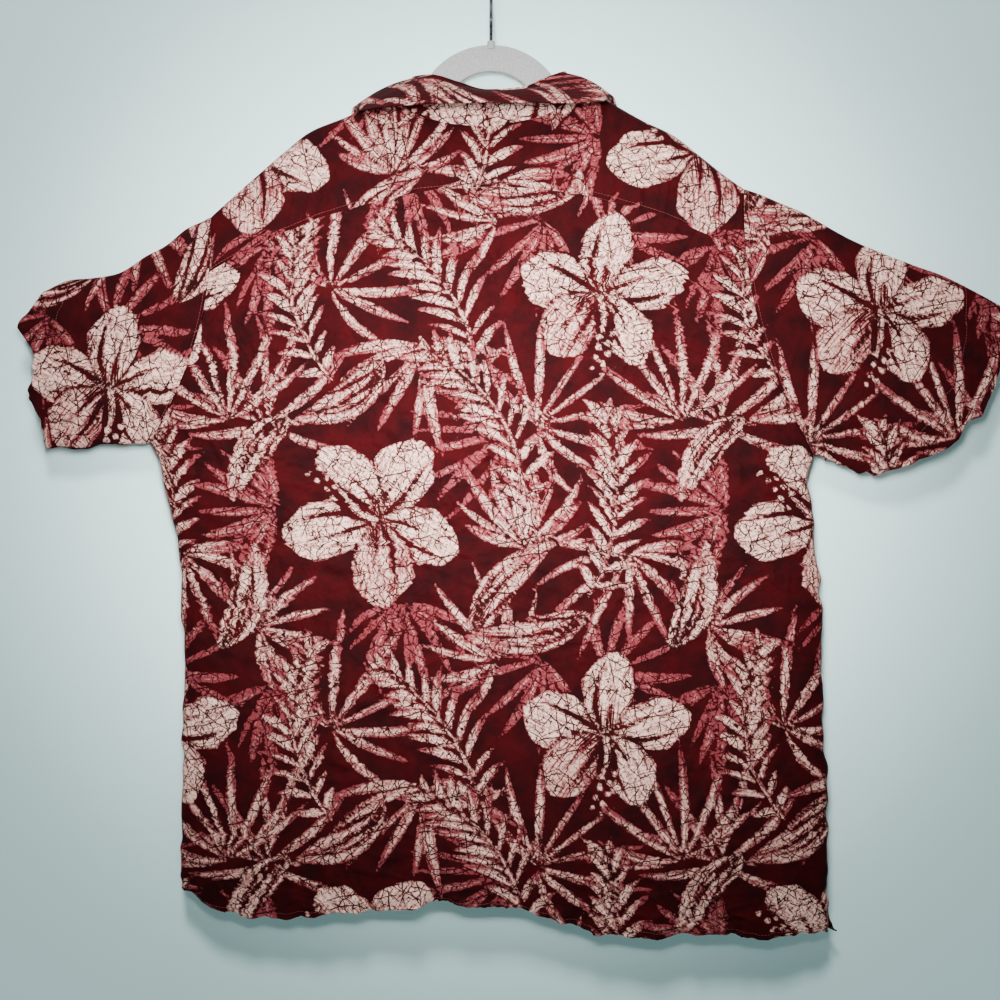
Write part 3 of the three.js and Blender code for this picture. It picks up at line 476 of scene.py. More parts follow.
def yoke_point(left, side, row, column):
    """The yoke beside the neck: row 0 is the shoulder's crest, then down the back or front."""
    shoulder = LEFT_SHOULDER if left else RIGHT_SHOULDER
    edge = column_share(0 if left else BODY_COLUMNS)
    neck = column_share(NECK_FIRST if left else NECK_LAST)
    inward = np.clip((column_share(column) - edge) / (neck - edge), 0, 1)
    crest_x, crest_z = smooth(shoulder["x"], 1 - inward), smooth(shoulder["z"], 1 - inward)
    seam_row = BACK_YOKE_ROW if side < 0 else FRONT_YOKE_ROW
    seam = back_point(np.float64(seam_row), column) if side < 0 else front_seam(left, inward)
    share = ring_share(row) / ring_share(seam_row)
    at_x, at_z, at_depth = armhole(left, ring_share(row))
    end_x, end_z, end_depth = armhole(left, ring_share(np.float64(seam_row)))
    start_x, start_z, _ = armhole(left, np.float64(0))
    outward = 1 - inward
    x = lerp(crest_x, seam[..., 0], share) + outward * (at_x - lerp(start_x, end_x, share))
    z = lerp(crest_z, seam[..., 2], share) + outward * (at_z - lerp(start_z, end_z, share))
    loose = 4 * share * (1 - share) * np.sqrt(np.clip(4 * inward * outward, 0, 1))
    rise = YOKE_RIPPLE * ripple(x / 16 + z / 50, z / 24, 61 + side) + YOKE_RIPPLE * ripple(x / 44, z / 30, 67)
    rise = rise + YOKE_WRINKLE * crumple(x, z, 140 + side)
    return points(x, side * (np.abs(seam[..., 1]) * at_depth / end_depth + rise * loose), z)


def neck_yoke_point(row, column):
    """The yoke behind the neck."""
    across = (1 - np.cos(np.pi * (column - NECK_FIRST) / (NECK_LAST - NECK_FIRST))) / 2
    x = lerp(LEFT_SHOULDER["x"][0], RIGHT_SHOULDER["x"][0], across)
    seam = back_point(np.float64(BACK_YOKE_ROW), column)
    share = ring_share(row) / ring_share(BACK_YOKE_ROW)
    _, _, depth = armhole(True, ring_share(row))
    _, _, end_depth = armhole(True, ring_share(np.float64(BACK_YOKE_ROW)))
    top_y = -YOKE_DEPTH * flat_ring(2 * across - 1, NECK_ROUNDNESS)
    top_z = read(BACK_NECK, "x", x, "z")
    x = lerp(x, seam[..., 0], share)
    z = lerp(top_z, seam[..., 2], share)
    rise = 0.8 * ripple(x / 18, z / 22, 60) + NECK_WRINKLE * crumple(x, z, 139)
    rise = rise * 4 * share * (1 - share)
    return points(x, lerp(top_y, seam[..., 1], depth / end_depth) - rise, z)


def neck_edge(left, z):
    """Where the inner edge of a front lies at a height."""
    neck = LEFT_NECK_SEAM if left else RIGHT_NECK_SEAM
    stand = BUTTON_STAND if left else -BUTTON_STAND
    return lerp(stand, neck[0], np.clip((z - NECK_FOOT_Z) / (neck[1] - NECK_FOOT_Z), 0, 1))


def front_edge(left, row):
    neck = LEFT_NECK_SEAM if left else RIGHT_NECK_SEAM
    stand = BUTTON_STAND if left else -BUTTON_STAND
    seam_share = ring_share(np.float64(FRONT_YOKE_ROW))
    share = (ring_share(row) - seam_share) / (1 - seam_share)
    down = np.clip((row - RING_STEPS) / (HEM_ROW - RING_STEPS), 0, 1)
    z = lerp(lerp(neck[1], PIT_ROW_CENTRE_Z, share), hem_height(np.float64(stand)), down)
    return neck_edge(left, z), z


def front_point(left, row, inward):
    """A front: inward is 0 at the side and 1 at its inner edge. The right passes under the left."""
    inner_x, inner_z = front_edge(left, row)
    outer_x, outer_z, _ = body_edge(left, row)
    x = lerp(outer_x, inner_x, inward)
    level = lerp(outer_z, inner_z, inward)
    z = level + hem_pull(row) * (hem_height(x) - level)
    depth = body_depth(row, x, 1, z)
    near_seam = 1 - ramp(row, FRONT_YOKE_ROW, FRONT_YOKE_ROW + 1.2)
    depth = lerp(depth, front_seam(left, inward)[..., 1], near_seam)
    if left:
        return points(x, depth, z)
    under = UNDERLAP * (1 - ramp(x, BUTTON_STAND + 2, 70))
    under = under * (1 - ramp(z, NECK_FOOT_Z - 10, NECK_FOOT_Z + 60))
    vent = np.clip((RIGHT_SIDE["z"][-1] + VENT_HEIGHT - outer_z) / VENT_HEIGHT, 0, 1)
    flare = VENT_FLARE * vent * vent * (1 - inward) ** 6
    return points(x + flare, depth + np.minimum(2.0, 3 * flare) - under, z)


def front_inward(left, row, x):
    inner_x, _ = front_edge(left, row)
    outer_x, _, _ = body_edge(left, row)
    return np.clip((x - outer_x) / (inner_x - outer_x), 0, 1)


def front_at(left, x, z):
    """The point of a front at a place seen from the front."""
    x, z = np.broadcast_arrays(np.asarray(x, float), np.asarray(z, float))
    low, high = np.full(x.shape, float(FRONT_YOKE_ROW)), np.full(x.shape, float(HEM_ROW))
    for _ in range(24):
        row = (low + high) / 2
        above = front_point(left, row, front_inward(left, row, x))[..., 2] > z
        low, high = np.where(above, row, low), np.where(above, high, row)
    return front_point(left, low, front_inward(left, low, x))


def sleeve_point(left, along, around):
    """A sleeve: around runs from 0 at the top fold down the back to 1 below, and on to 2."""
    sleeve = sleeve_of(left)
    top_x, top_z, under_x, under_z, depth, bow = (smooth(sleeve[c], along) for c in sleeve)
    back = around <= 1
    share = np.where(back, around, 2 - around)
    s = 2 * share - 1
    inward = 1 if left else -1
    lean = (under_x - top_x) / np.hypot(under_x - top_x, under_z - top_z) * along
    bow = bow * (1 - s * s)
    if left:
        off = (share - CUFF_CRUMPLE["at"]) / CUFF_CRUMPLE["width"]
        bow = bow - CUFF_CRUMPLE["out"] * along**4 * np.exp(-off * off)
    cuff = CUFF_WAVE * waves(share * 9, 71 if left else 73) + CUFF_FINE_WAVE * waves(share * 21, 72)
    bow = bow + along**3 * cuff * (1 - s**6)
    x = lerp(top_x, under_x, share) + inward * bow * np.sqrt(1 - lean * lean)
    z = lerp(top_z, under_z, share) + inward * bow * lean
    past_seam = ramp(along, 0.02, 0.2)
    z = z + TOP_FOLD_WAVE * waves(along * 7, 87 + left) * past_seam * np.exp(-share * 9)
    z = z + UNDER_FOLD_WAVE * waves(along * 9, 89 + left) * past_seam * np.exp(-(1 - share) * 9)
    rise = ARMHOLE_PUCKER * pucker(share, 31) * (1 - s**8) * np.exp(-along * 8)
    loose = ramp(along, 0, 0.2) * flat_ring(s, SLEEVE_ROUNDNESS)
    small = 0.7 * ripple(along * 8, around * 14, 75 + left) + 0.35 * ripple(along * 19, around * 30, 77)
    rise = rise + (small + SLEEVE_WRINKLE * crumple(along * 180, around * 210, 160 + left)) * loose
    rise = rise + CUFF_CURL * waves(around * 8, 78 + left) * along**5 * flat_ring(s, SLEEVE_ROUNDNESS)
    for values in SLEEVE_CREASES:
        crease = dict(zip(SLEEVE_CREASE_COLUMNS, values))
        place = np.clip((along - crease["along0"]) / (crease["along1"] - crease["along0"]), 0, 1)
        middle = lerp(crease["around0"], crease["around1"], place)
        reach = ramp(along, crease["along0"] - 0.1, crease["along0"] + 0.2)
        reach = reach * (1 - ramp(along, crease["along1"] - 0.15, crease["along1"] + 0.15))
        rise = rise + crease["out"] * reach * loose * np.exp(-(((around - middle) / crease["width"]) ** 2))
    out = depth * flat_ring(s, SLEEVE_ROUNDNESS) + rise
    return points(x, np.where(back, -out, out), z)


# The printed design: a repeat of blossoms, fan palms, fronds and broad leaves of this shirt's own,
# in millimetres on the flat cloth. Each shape is painted over those before it, with a thin line of
# ground round it, as wax-resist work leaves.

REPEAT = (452.0, 436.0)
FAN_COLUMNS = ("x", "y", "angle", "spread", "blades", "length", "width", "tone")
FANS = (
    (228, 414, 84, 204, 8, 127, 8.7, 1),
    (138, 284, 268, 190, 9, 116, 10.9, 1),
    (292, 112, 43, 178, 8, 122, 9.7, 1),
    (46, 412, 36, 194, 9, 125, 9, 1),
    (217, 212, 26, 203, 10, 99, 8.8, 1),
    (6, 179, 149, 173, 9, 103, 9.2, 1),
    (33, 292, 91, 137, 10, 115, 10.4, 1),
    (388, 54, 270, 165, 10, 122, 10.1, 1),
    (190, 417, 108, 150, 9, 124, 9, 1),
    (235, 329, 175, 150, 10, 94, 9.9, 0.47),
    (362, 236, 272, 131, 9, 116, 8.3, 0.33),
    (118, 169, 24, 146, 7, 90, 8.8, 0.42),
    (52, 179, 233, 147, 8, 94, 8.3, 0.44),
    (228, 155, 265, 112, 8, 97, 8.7, 0.41),
    (17, 403, 200, 125, 10, 119, 8.4, 0.45),
)
FROND_COLUMNS = ("x", "y", "angle", "length", "bend", "pairs", "leaf", "width", "tone")
FRONDS = (
    (98, 241, 85, 179, -0.11, 11, 56, 8.5, 1),
    (295, 20, 99, 169, 0.16, 11, 52, 8.5, 1),
    (441, 17, 123, 178, -0.13, 11, 58, 8.5, 1),
    (34, 325, 122, 184, -0.16, 11, 59, 8.5, 1),
)
LEAF_COLUMNS = ("x", "y", "angle", "length", "width", "bend", "tone")
LEAVES = (
    (433, 204, 48, 125, 35, 0.1, 0.88),
    (179, 191, 71, 113, 38, -0.1, 0.98),
    (251, 421, 234, 106, 34, -0.1, 0.95),
    (98, 225, 190, 127, 36, 0.09, 0.81),
    (347, 38, 212, 107, 37, 0.11, 0.84),
)
BLOSSOM_COLUMNS = ("x", "y", "radius", "turn", "petal", "style")
BLOSSOMS = (
    (112, 106, 88, 14, 56, 262),
    (338, 318, 92, 52, 58, 140),
)
GROUND_LINE = 1.3
# Kinds of shape: blades and leaflets, petals, broad leaves, and stamens with their anthers
PLAIN, PETAL, BROAD, STAMEN = 0.0, 1.0, 2.0, 3.0


class PrintedDesign:
    """The design at places on the flat cloth: depth inside a light shape, its tone, and how far
    along and across the shape a place is."""

    def __init__(self, flat):
        self.flat = flat.reshape(-1, 2)
        count = len(self.flat)
        self.depth = np.full(count, -40.0)
        self.tone = np.zeros(count)
        self.shape = np.zeros((count, 3))

    def near(self, x, y, reach, ahead=(0, 0)):
        """The places within reach of a point ahead of one of the repeat, and their offsets from it."""
        offset = self.flat - (x, y) - ahead
        offset = (offset + np.array(REPEAT) / 2) % REPEAT - np.array(REPEAT) / 2
        chosen = np.flatnonzero((offset**2).sum(axis=1) < reach * reach)
        return chosen, offset[chosen] + ahead

    def paint(self, chosen, inside, tone, along, across, kind, line=GROUND_LINE):
        below = self.depth[chosen]
        self.depth[chosen] = np.maximum(np.minimum(below, -(inside + line)), inside)
        over = inside > -line / 2
        self.tone[chosen[over]] = (tone + 0 * inside)[over]
        self.shape[chosen[over]] = np.stack([along, across, np.full(len(along), kind)], axis=1)[over]

    def blade_at(self, offset, angle, length, width, bend, peak, power=0.75):
        """Depth inside a pointed blade from the offset's origin, and the place along and across it."""
        turn = math.radians(angle)
        along = offset @ (math.cos(turn), math.sin(turn))
        across = offset @ (-math.sin(turn), math.cos(turn))
        place = np.clip(along / length, 0, 1)
        across = across - bend * length * 4 * place * (1 - place)
        half = width / 2 * np.sin(np.pi * place**peak) ** power
        beyond = along - place * length
        inside = np.where(np.abs(beyond) < 1e-6, half - np.abs(across), -np.hypot(beyond, across))
        return inside, along, across

    def blade(
        self, chosen, offset, angle, length, width, bend, tone,
        kind=PLAIN, peak=0.6, line=GROUND_LINE, fade=0.0,
    ):
        """Paints a pointed blade, whose tone fades towards its tip by the share given."""
        inside, along, across = self.blade_at(offset, angle, length, width, bend, peak)
        tones = tone * (1 - fade * ramp(along / length, 0.25, 0.95))
        self.paint(chosen, inside, tones, along, across, kind, line)

    def cut(self, chosen, offset, angle, length, width, bend, peak=0.9):
        """Takes a sliver of the light shape away, down to the ground."""
        inside = self.blade_at(offset, angle, length, width, bend, peak)[0]
        self.depth[chosen] = np.minimum(self.depth[chosen], -inside)

    def fan(self, x, y, angle, spread, blades, length, width, tone):
        """A fan palm's leaf: narrow blades from one point, of uneven length."""
        chosen, offset = self.near(x, y, length * 1.15)
        random = np.random.default_rng(int(x * 7 + y))
        for i in random.permutation(blades):
            share = i / (blades - 1) * 2 - 1
            long = length * (1 - 0.25 * share * share) * random.uniform(0.74, 1.1)
            at = angle + spread / 2 * share + random.uniform(-3.5, 3.5)
            wide = width * random.uniform(0.7, 1.25)
            bend = 0.07 * share + random.uniform(-0.05, 0.05)
            shade = tone * random.uniform(0.75, 1)
            fade = random.uniform(0.1, 0.75)
            self.blade(chosen, offset, at, long, wide, bend, shade, peak=1.05, fade=fade)

    def frond(self, x, y, angle, length, bend, pairs, leaf, width, tone):
        """A feather palm's leaf: a bent stalk with leaflets on both sides."""
        random = np.random.default_rng(int(x * 5 + y))
        turn = math.radians(angle)
        forward = np.array((math.cos(turn), math.sin(turn)))
        chosen, offset = self.near(x, y, length * 0.55 + leaf, forward * length / 2)
        side = np.array((-forward[1], forward[0]))
        for i in range(pairs):
            place = (i + 0.6) / pairs
            root = forward * length * place + side * bend * length * 4 * place * (1 - place)
            lean = math.degrees(math.atan(bend * 4 * (1 - 2 * place)))
            for way in (1, -1):
                long = leaf * (0.55 + 0.45 * math.sin(math.pi * place)) * random.uniform(0.75, 1.08)
                at = angle + lean + way * (58 - 30 * place) + random.uniform(-4, 4)
                wide = width * random.uniform(0.75, 1.2)
                fade = random.uniform(0.0, 0.6)
                self.blade(chosen, offset - root, at, long, wide, -0.07 * way, tone, peak=0.95, fade=fade)
        self.blade(chosen, offset, angle, length * 1.04, 4.0, bend, tone, peak=0.4)

    def leaf(self, x, y, angle, length, width, bend, tone):
        """A broad leaf with slits along its veins."""
        chosen, offset = self.near(x, y, length * 1.15)
        self.blade(chosen, offset, angle, length, width, bend, tone, kind=BROAD, peak=0.8, line=2.0, fade=0.2)
        self.cut(chosen, offset, angle, length * 0.92, 3.4, bend)
        for way, reach in ((1, 0.8), (-1, 0.72), (1, 0.5), (-1, 0.46)):
            at = angle + way * (9 - 5 * reach)
            self.cut(chosen, offset, at, length * reach, 3.0, bend + 0.09 * way * reach)

    def blossom(self, x, y, radius, turn, petal, style):
        """Five long petals with folded rims, and a stamen with its anthers."""
        chosen, offset = self.near(x, y, radius * 1.2)
        random = np.random.default_rng(int(x * 3 + y))
        for i in (0, 2, 4, 1, 3):
            angle = turn + 72 * i + random.uniform(-7, 7)
            long = radius * random.uniform(0.88, 1.06)
            wide = petal * random.uniform(0.88, 1.1)
            bend = random.uniform(-0.05, 0.05)
            inside, along, across = self.blade_at(offset, angle, long, wide, bend, 1.25, 0.62)
            ruffle = 1.7 * np.sin(along * 0.19 + i * 2 + across * 0.12) * ramp(along / long, 0.3, 0.7)
            self.paint(chosen, inside + ruffle, 1.0 - 0.25 * (i == 3), along, across, PETAL, 2.4)
            way = 1 if i % 2 else -1
            self.cut(chosen, offset, angle + way * 9, long * 0.84, 5.0, bend + 0.085 * way, 0.75)
            self.cut(chosen, offset, angle - way * 6, long * 0.55, 3.4, bend - 0.04 * way, 0.8)
        self.cut(chosen, offset, style, radius * 0.92, 21, 0.1, 0.8)
        self.blade(chosen, offset, style, radius * 0.6, 7, 0.12, 1.0, kind=STAMEN, peak=0.5, line=2.2)
        ahead, aside = math.cos(math.radians(style)), math.sin(math.radians(style))
        for i in range(9):
            reach = radius * (0.42 + 0.06 * i)
            sway = 5.5 * (-1) ** i + random.uniform(-2, 2) + 0.2 * radius * (1 - reach / radius)
            spot = (reach * ahead - sway * aside, reach * aside + sway * ahead)
            away = np.hypot(*(offset - spot).T)
            self.paint(chosen, random.uniform(2.2, 3.6) - away, 1.0, away, away, STAMEN, 1.0)


def printed(flat):
    """The design painted at places on the flat cloth, palest shapes last."""
    design = PrintedDesign(flat)
    for fan in sorted(FANS, key=lambda values: values[-1]):
        design.fan(*fan)
    for frond in FRONDS:
        design.frond(*frond)
    for leaf in LEAVES:
        design.leaf(*leaf)
    for blossom in BLOSSOMS:
        design.blossom(*blossom)
    return design


# Cloth meshes: the spacing of their grids, the sleeves' columns from the under fold to the top
# one, and lengths of cloth down and across the pieces

WEAVE_STEP = 2.35
TOP_COLUMN = 103
ARMHOLE_LENGTH = 250
SIDE_LENGTH = 474
BACK_WIDTH = 662
FRONT_WIDTH = 334
SLEEVE_LENGTH = 170
POCKET_HEIGHT = 136
POCKET_WIDTH = 122
POCKET_HEM = 25
LAPEL_LIFT = 1.2
POCKET_LIFT = 1.1
FOLD_RADIUS = 0.7
SEAM_DEPTH = 0.45
# The row of a front where the stitches of its turned edge begin
FACING_STITCH_ROW = 110


def normals_of(grid, turned):
    """Outward directions of a grid of points."""
    out = np.cross(np.gradient(grid, axis=0), np.gradient(grid, axis=1))
    length = np.linalg.norm(out, axis=-1, keepdims=True)
    return (-1 if turned else 1) * out / np.maximum(length, 1e-9)


def let_out(grid, column):
    """How far each row turns away from the eye, in length, from one column on."""
    step = np.diff(grid, axis=1)
    seen = np.hypot(step[..., 0], step[..., 2])
    more = np.maximum(np.linalg.norm(step, axis=-1) - 1.03 * seen, 0)
    more = np.concatenate([np.zeros((len(grid), 1)), np.cumsum(more, axis=1)], axis=1)
    return more - more[:, column : column + 1]


def flat_places(grid, column):
    """Where each point lies on the flat cloth: as seen, with what turns away let out across it."""
    way = np.sign(grid[0, -1, 0] - grid[0, 0, 0])
    return np.stack([grid[..., 0] + way * let_out(grid, column), grid[..., 2]], axis=-1)


def turn_under(grid, flat, turned, rows):
    """Folds the cloth under at the grid's last row, and leads it back over that many rows."""
    radius = FOLD_RADIUS
    out = normals_of(grid, turned)
    last, before = grid[-1], grid[-2]
    beyond = last - before
    beyond /= np.linalg.norm(beyond, axis=-1, keepdims=True)
    added, places = [], []
    spread = flat[-1] - flat[-2]
    spread /= np.linalg.norm(spread, axis=-1, keepdims=True)
    for angle in (45, 90, 135, 180):
        a = math.radians(angle)
        added.append(last + radius * (math.sin(a) * beyond - (1 - math.cos(a)) * out[-1]))
        places.append(flat[-1] + spread * radius * a)
    under = grid - 2 * radius * out
    for i in range(2, rows + 2):
        added.append(under[-i])
        places.append(flat[-1] + spread * np.linalg.norm(flat[-1] - flat[-i], axis=-1, keepdims=True))
    return np.concatenate([grid, added]), np.concatenate([flat, places])


def swap(grid):
    return np.swapaxes(grid, 0, 1)


def sink(grid, turned, edges, depth=SEAM_DEPTH):
    """Draws the cloth in along sewn edges, named as first or last row or column."""
    out = normals_of(grid, turned)
    grid = grid.copy()
    for edge in edges:
        for step, share in ((0, 1.0), (1, 0.55), (2, 0.12)):
            i = step if edge[0] == "first" else -1 - step
            if edge[1] == "row":
                grid[i] -= out[i] * depth * share
            else:
                grid[:, i] -= out[:, i] * depth * share
    return grid


def piece_of(name, mesh, finish):
    """A smooth-shaded piece of one finish, in the scene and on the garment's body."""
    mesh.shade_smooth()
    mesh.materials.append(finish)
    piece = bpy.data.objects.new(name, mesh)
    bpy.context.scene.collection.objects.link(piece)
    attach(piece, BODY)
    return piece


def cloth(name, patches, finish, shift=(0, 0), weld=False):
    """A sheet of printed cloth from grids of points. Each patch is its points, flat places and
    whether its faces turn over."""
    places, flats, faces, start = [], [], [], 0
    for grid, flat, turned in patches:
        rows, columns = grid.shape[:2]
        index = start + np.arange(rows * columns).reshape(rows, columns)
        a, b, c, d = index[:-1, :-1], index[:-1, 1:], index[1:, 1:], index[1:, :-1]
        corners = (a, b, c, d) if turned else (a, d, c, b)
        faces.append(np.stack(corners, axis=-1).reshape(-1, 4))
        places.append(grid.reshape(-1, 3))
        flats.append(flat.reshape(-1, 2))
        start += rows * columns
    places, flats, faces = np.concatenate(places), np.concatenate(flats), np.concatenate(faces)
    mesh = bpy.data.meshes.new(name)
    mesh.vertices.add(len(places))
    mesh.vertices.foreach_set("co", (places * MM).ravel())
    mesh.loops.add(faces.size)
    mesh.loops.foreach_set("vertex_index", faces.ravel())
    mesh.polygons.add(len(faces))
    mesh.polygons.foreach_set("loop_start", np.arange(len(faces)) * 4)
    mesh.polygons.foreach_set("loop_total", np.full(len(faces), 4))
    layer = mesh.uv_layers.new(name="flat")
    layer.data.foreach_set("uv", ((flats + shift)[faces.ravel()] * MM).ravel())
    design = printed(flats + shift)
    for label, kind, field, values in (
        ("print_depth", "FLOAT", "value", np.clip(design.depth, -12, 30)),
        ("print_tone", "FLOAT", "value", design.tone),
        ("print_shape", "FLOAT_VECTOR", "vector", design.shape.ravel()),
    ):
        mesh.attributes.new(label, kind, "POINT").data.foreach_set(field, values)
    mesh.update(calc_edges=True)
    mesh.validate()
    if weld:
        work = bmesh.new()
        work.from_mesh(mesh)
        bmesh.ops.remove_doubles(work, verts=work.verts, dist=0.06 * MM)
        work.to_mesh(mesh)
        work.free()
    piece = piece_of(name, mesh, finish)
    return piece


def start_clean():
    """Leaves nothing selected, so that an operator acts only on what comes next."""
    if bpy.context.object and bpy.context.object.mode != "OBJECT":
        bpy.ops.object.mode_set(mode="OBJECT")
    bpy.ops.object.select_all(action="DESELECT")


def choose(*pieces):
    """Selects these pieces alone, the last of them active."""
    start_clean()
    for piece in pieces:
        piece.select_set(True)
    bpy.context.view_layer.objects.active = pieces[-1]


def thicken(piece, wall):
    """Gives a small double piece its real thickness."""
    choose(piece)
    solid = piece.modifiers.new("ply", "SOLIDIFY")
    solid.thickness = wall * MM
    solid.offset = 0
    bpy.ops.object.modifier_apply(modifier=solid.name)


def steps(length):
    """How many steps of the cloth's grid go into a length."""
    return max(2, int(round(length / WEAVE_STEP)))


def body_rows(first):
    """Rows down the body from a seam, evenly spaced on the cloth."""
    start = ring_share(np.float64(first))
    ring = ring_row(np.linspace(start, 1, steps(ARMHOLE_LENGTH)))
    ring[0] = first
    below = np.linspace(RING_STEPS, HEM_ROW, steps(SIDE_LENGTH) + 1)[1:]
    return np.concatenate([ring, below])


def back_grid():
    columns = np.linspace(0, BODY_COLUMNS, steps(BACK_WIDTH))
    return back_point(body_rows(BACK_YOKE_ROW)[:, None], columns[None, :])


def front_grid(left):
    inward = np.linspace(0, 1, steps(FRONT_WIDTH))
    return front_point(left, body_rows(FRONT_YOKE_ROW)[:, None], inward[None, :])


def sleeve_grid(left):
    half = ring_share(np.linspace(0, RING_STEPS, TOP_COLUMN + 1))
    around = np.concatenate([1 + half, 2 + half[1:]])
    around = np.where(around > 2, around - 2, around)
    along = np.linspace(0, 1, steps(SLEEVE_LENGTH))
    return sleeve_point(left, along[:, None], around[None, :])


def sleeve_flat(grid, left):
    """The sleeve's flat places: its back as seen, and its front turned over about the top fold."""
    seen = grid[..., [0, 2]]
    top = seen[:, TOP_COLUMN]
    fold = (top[-1] - top[0]) / np.linalg.norm(top[-1] - top[0])
    down = seen[:, -1] - top
    down /= np.linalg.norm(down, axis=-1, keepdims=True)
    offset = seen - top[:, None] + np.abs(let_out(grid, TOP_COLUMN))[..., None] * down[:, None]
    turned = 2 * (offset @ fold)[..., None] * fold - offset
    offset[:, :TOP_COLUMN] = turned[:, :TOP_COLUMN]
    return top[:, None] + offset


def collar_section(p, along):
    """The collar's section at each place: up its stand, over the roll and down its leaf."""
    at = {c: read(COLLAR, "along", along, c) for c in COLLAR if c != "along"}
    top = points(at["top_x"], at["top_y"], at["top_z"])
    edge = points(at["edge_x"], at["edge_y"], at["edge_z"])
    out = edge - top
    out[:, 2] = 0
    out /= np.linalg.norm(out, axis=1, keepdims=True)
    drop = np.array((0, 0, COLLAR_ROLL))
    inside, outside = top - out * COLLAR_ROLL - drop, top + out * COLLAR_ROLL - 0.7 * drop
    line = [p, lerp(p, inside, 0.5), inside, top, outside]
    for f in (0.33, 0.67, 1.0):
        leaf = lerp(outside, edge, f)
        leaf[:, 2] += LEAF_ARCH * 4 * f * (1 - f)
        line.append(leaf)
    return np.stack(line, axis=1)


def neck_seam():
    """Points of the neck seam from the left front round the back to the right, with their places
    along the collar."""
    line, places = [], []
    for left in (True, False):
        column = np.float64(NECK_FIRST if left else NECK_LAST)
        rows = np.linspace(FRONT_YOKE_ROW, 0, 46)
        side = yoke_point(left, 1, rows, column)
        start = front_point(left, np.linspace(BACK_YOKE_ROW, FRONT_YOKE_ROW, 16), np.float64(1))[:-1]
        half = np.concatenate([start, side])
        beside = np.interp(rows, (0, 1, 2, 3), (0.5, 0.58, 0.68, 0.8))
        share = np.concatenate([np.linspace(1, 0.8, 16)[:-1], beside])
        line.append(half if left else half[::-1])
        places.append(-share if left else share[::-1])
    columns = np.linspace(NECK_FIRST, NECK_LAST, 100)[1:-1]
    behind = neck_yoke_point(np.float64(0), columns)
    across = (columns - NECK_FIRST) / (NECK_LAST - NECK_FIRST)
    return np.concatenate([line[0], behind, line[1]]), np.concatenate([places[0], across - 0.5, places[1]])


def collar_grid():
    seam, along = neck_seam()
    section = collar_section(seam, along)
    place = np.linspace(0, 1, 44)
    grid = np.empty((len(place), len(seam), 3))
    for axis in range(3):
        values = section[:, :, axis]
        for i in range(len(seam)):
            grid[:, i, axis] = smooth(values[i], place)
    return grid


def lapel_grid(left):
    foot = LAPEL["left_foot_z"] if left else LAPEL["right_foot_z"]
    down, over = np.linspace(0, 1, 40)[:, None], np.linspace(0, 1, 26)[None, :]
    spread = over * (1 - down) ** LAPEL["taper"]
    outward = -1 if left else 1
    z = lerp(LAPEL["top_z"], foot, down)
    x = neck_edge(left, z) + outward * (LAPEL["edge"] + LAPEL["width"] * spread)
    return front_at(left, x, z - LAPEL["drop"] * spread)


def pocket_grid():
    down = np.linspace(0, 1, steps(POCKET_HEIGHT))[:, None]
    across = np.linspace(0, 1, steps(POCKET_WIDTH))[None, :]
    point = POCKET["point"]
    foot = point * down * (1 - np.abs(2 * across - 1))
    x = lerp(POCKET["x0"], POCKET["x1"], across)
    return front_at(True, x, lerp(POCKET["top_z"], POCKET["foot_z"] + point, down) - foot)


# A stitch: its rings' places along it, how high each lies and how thick it is, as shares of the
# thread's radius
THREAD_RADIUS = 0.24
STITCH_SIDES = 5
STITCH_PLACES = np.array((0, 0.12, 0.5, 0.88, 1))
STITCH_RISE = np.array((-0.6, 0.45, 0.9, 0.45, -0.6))
STITCH_GIRTH = np.array((0.35, 0.9, 1, 0.9, 0.35))


def stitches(name, rows, finish, length, gap):
    """Rows of stitches as one mesh. Each row is its points on the cloth and the directions out."""
    sides, radius = STITCH_SIDES, THREAD_RADIUS
    places, faces = [], []
    for line, out in rows:
        step = np.linalg.norm(np.diff(line, axis=0), axis=1)
        reach = np.concatenate([[0], np.cumsum(step)])
        for start in np.arange(gap, reach[-1] - length, length + gap):
            marks = start + length * STITCH_PLACES
            middle = np.stack([np.interp(marks, reach, line[:, k]) for k in range(3)], axis=1)
            up = np.stack([np.interp(marks, reach, out[:, k]) for k in range(3)], axis=1)
            along = middle[-1] - middle[0]
            aside = np.cross(along, up)
            aside /= np.linalg.norm(aside, axis=1, keepdims=True)
            middle = middle + up * (radius * STITCH_RISE)[:, None]
            girth = radius * STITCH_GIRTH
            first = len(places)
            for i in range(5):
                for k in range(sides):
                    a = 2 * math.pi * k / sides
                    places.append(middle[i] + girth[i] * (math.cos(a) * aside[i] + math.sin(a) * up[i]))
            for i in range(4):
                for k in range(sides):
                    a, b = first + i * sides + k, first + i * sides + (k + 1) % sides
                    faces.append((a, b, b + sides, a + sides))
            faces.append(tuple(first + k for k in reversed(range(sides))))
            faces.append(tuple(first + 4 * sides + k for k in range(sides)))
    mesh = bpy.data.meshes.new(name)
    mesh.from_pydata((np.array(places) * MM).tolist(), [], faces)
    return piece_of(name, mesh, finish)


def row_of(grid, turned, index, lift=0.1):
    """A line of stitches along a row of a grid."""
    out = normals_of(grid, turned)[index]
    return grid[index] + lift * out, out


# Materials


def linear(hex_colour):
    """An sRGB hex colour as linear red, green, blue and alpha."""
    values = [int(hex_colour[i : i + 2], 16) / 255 for i in (1, 3, 5)]
    return (*(v / 12.92 if v <= 0.04045 else ((v + 0.055) / 1.055) ** 2.4 for v in values), 1.0)


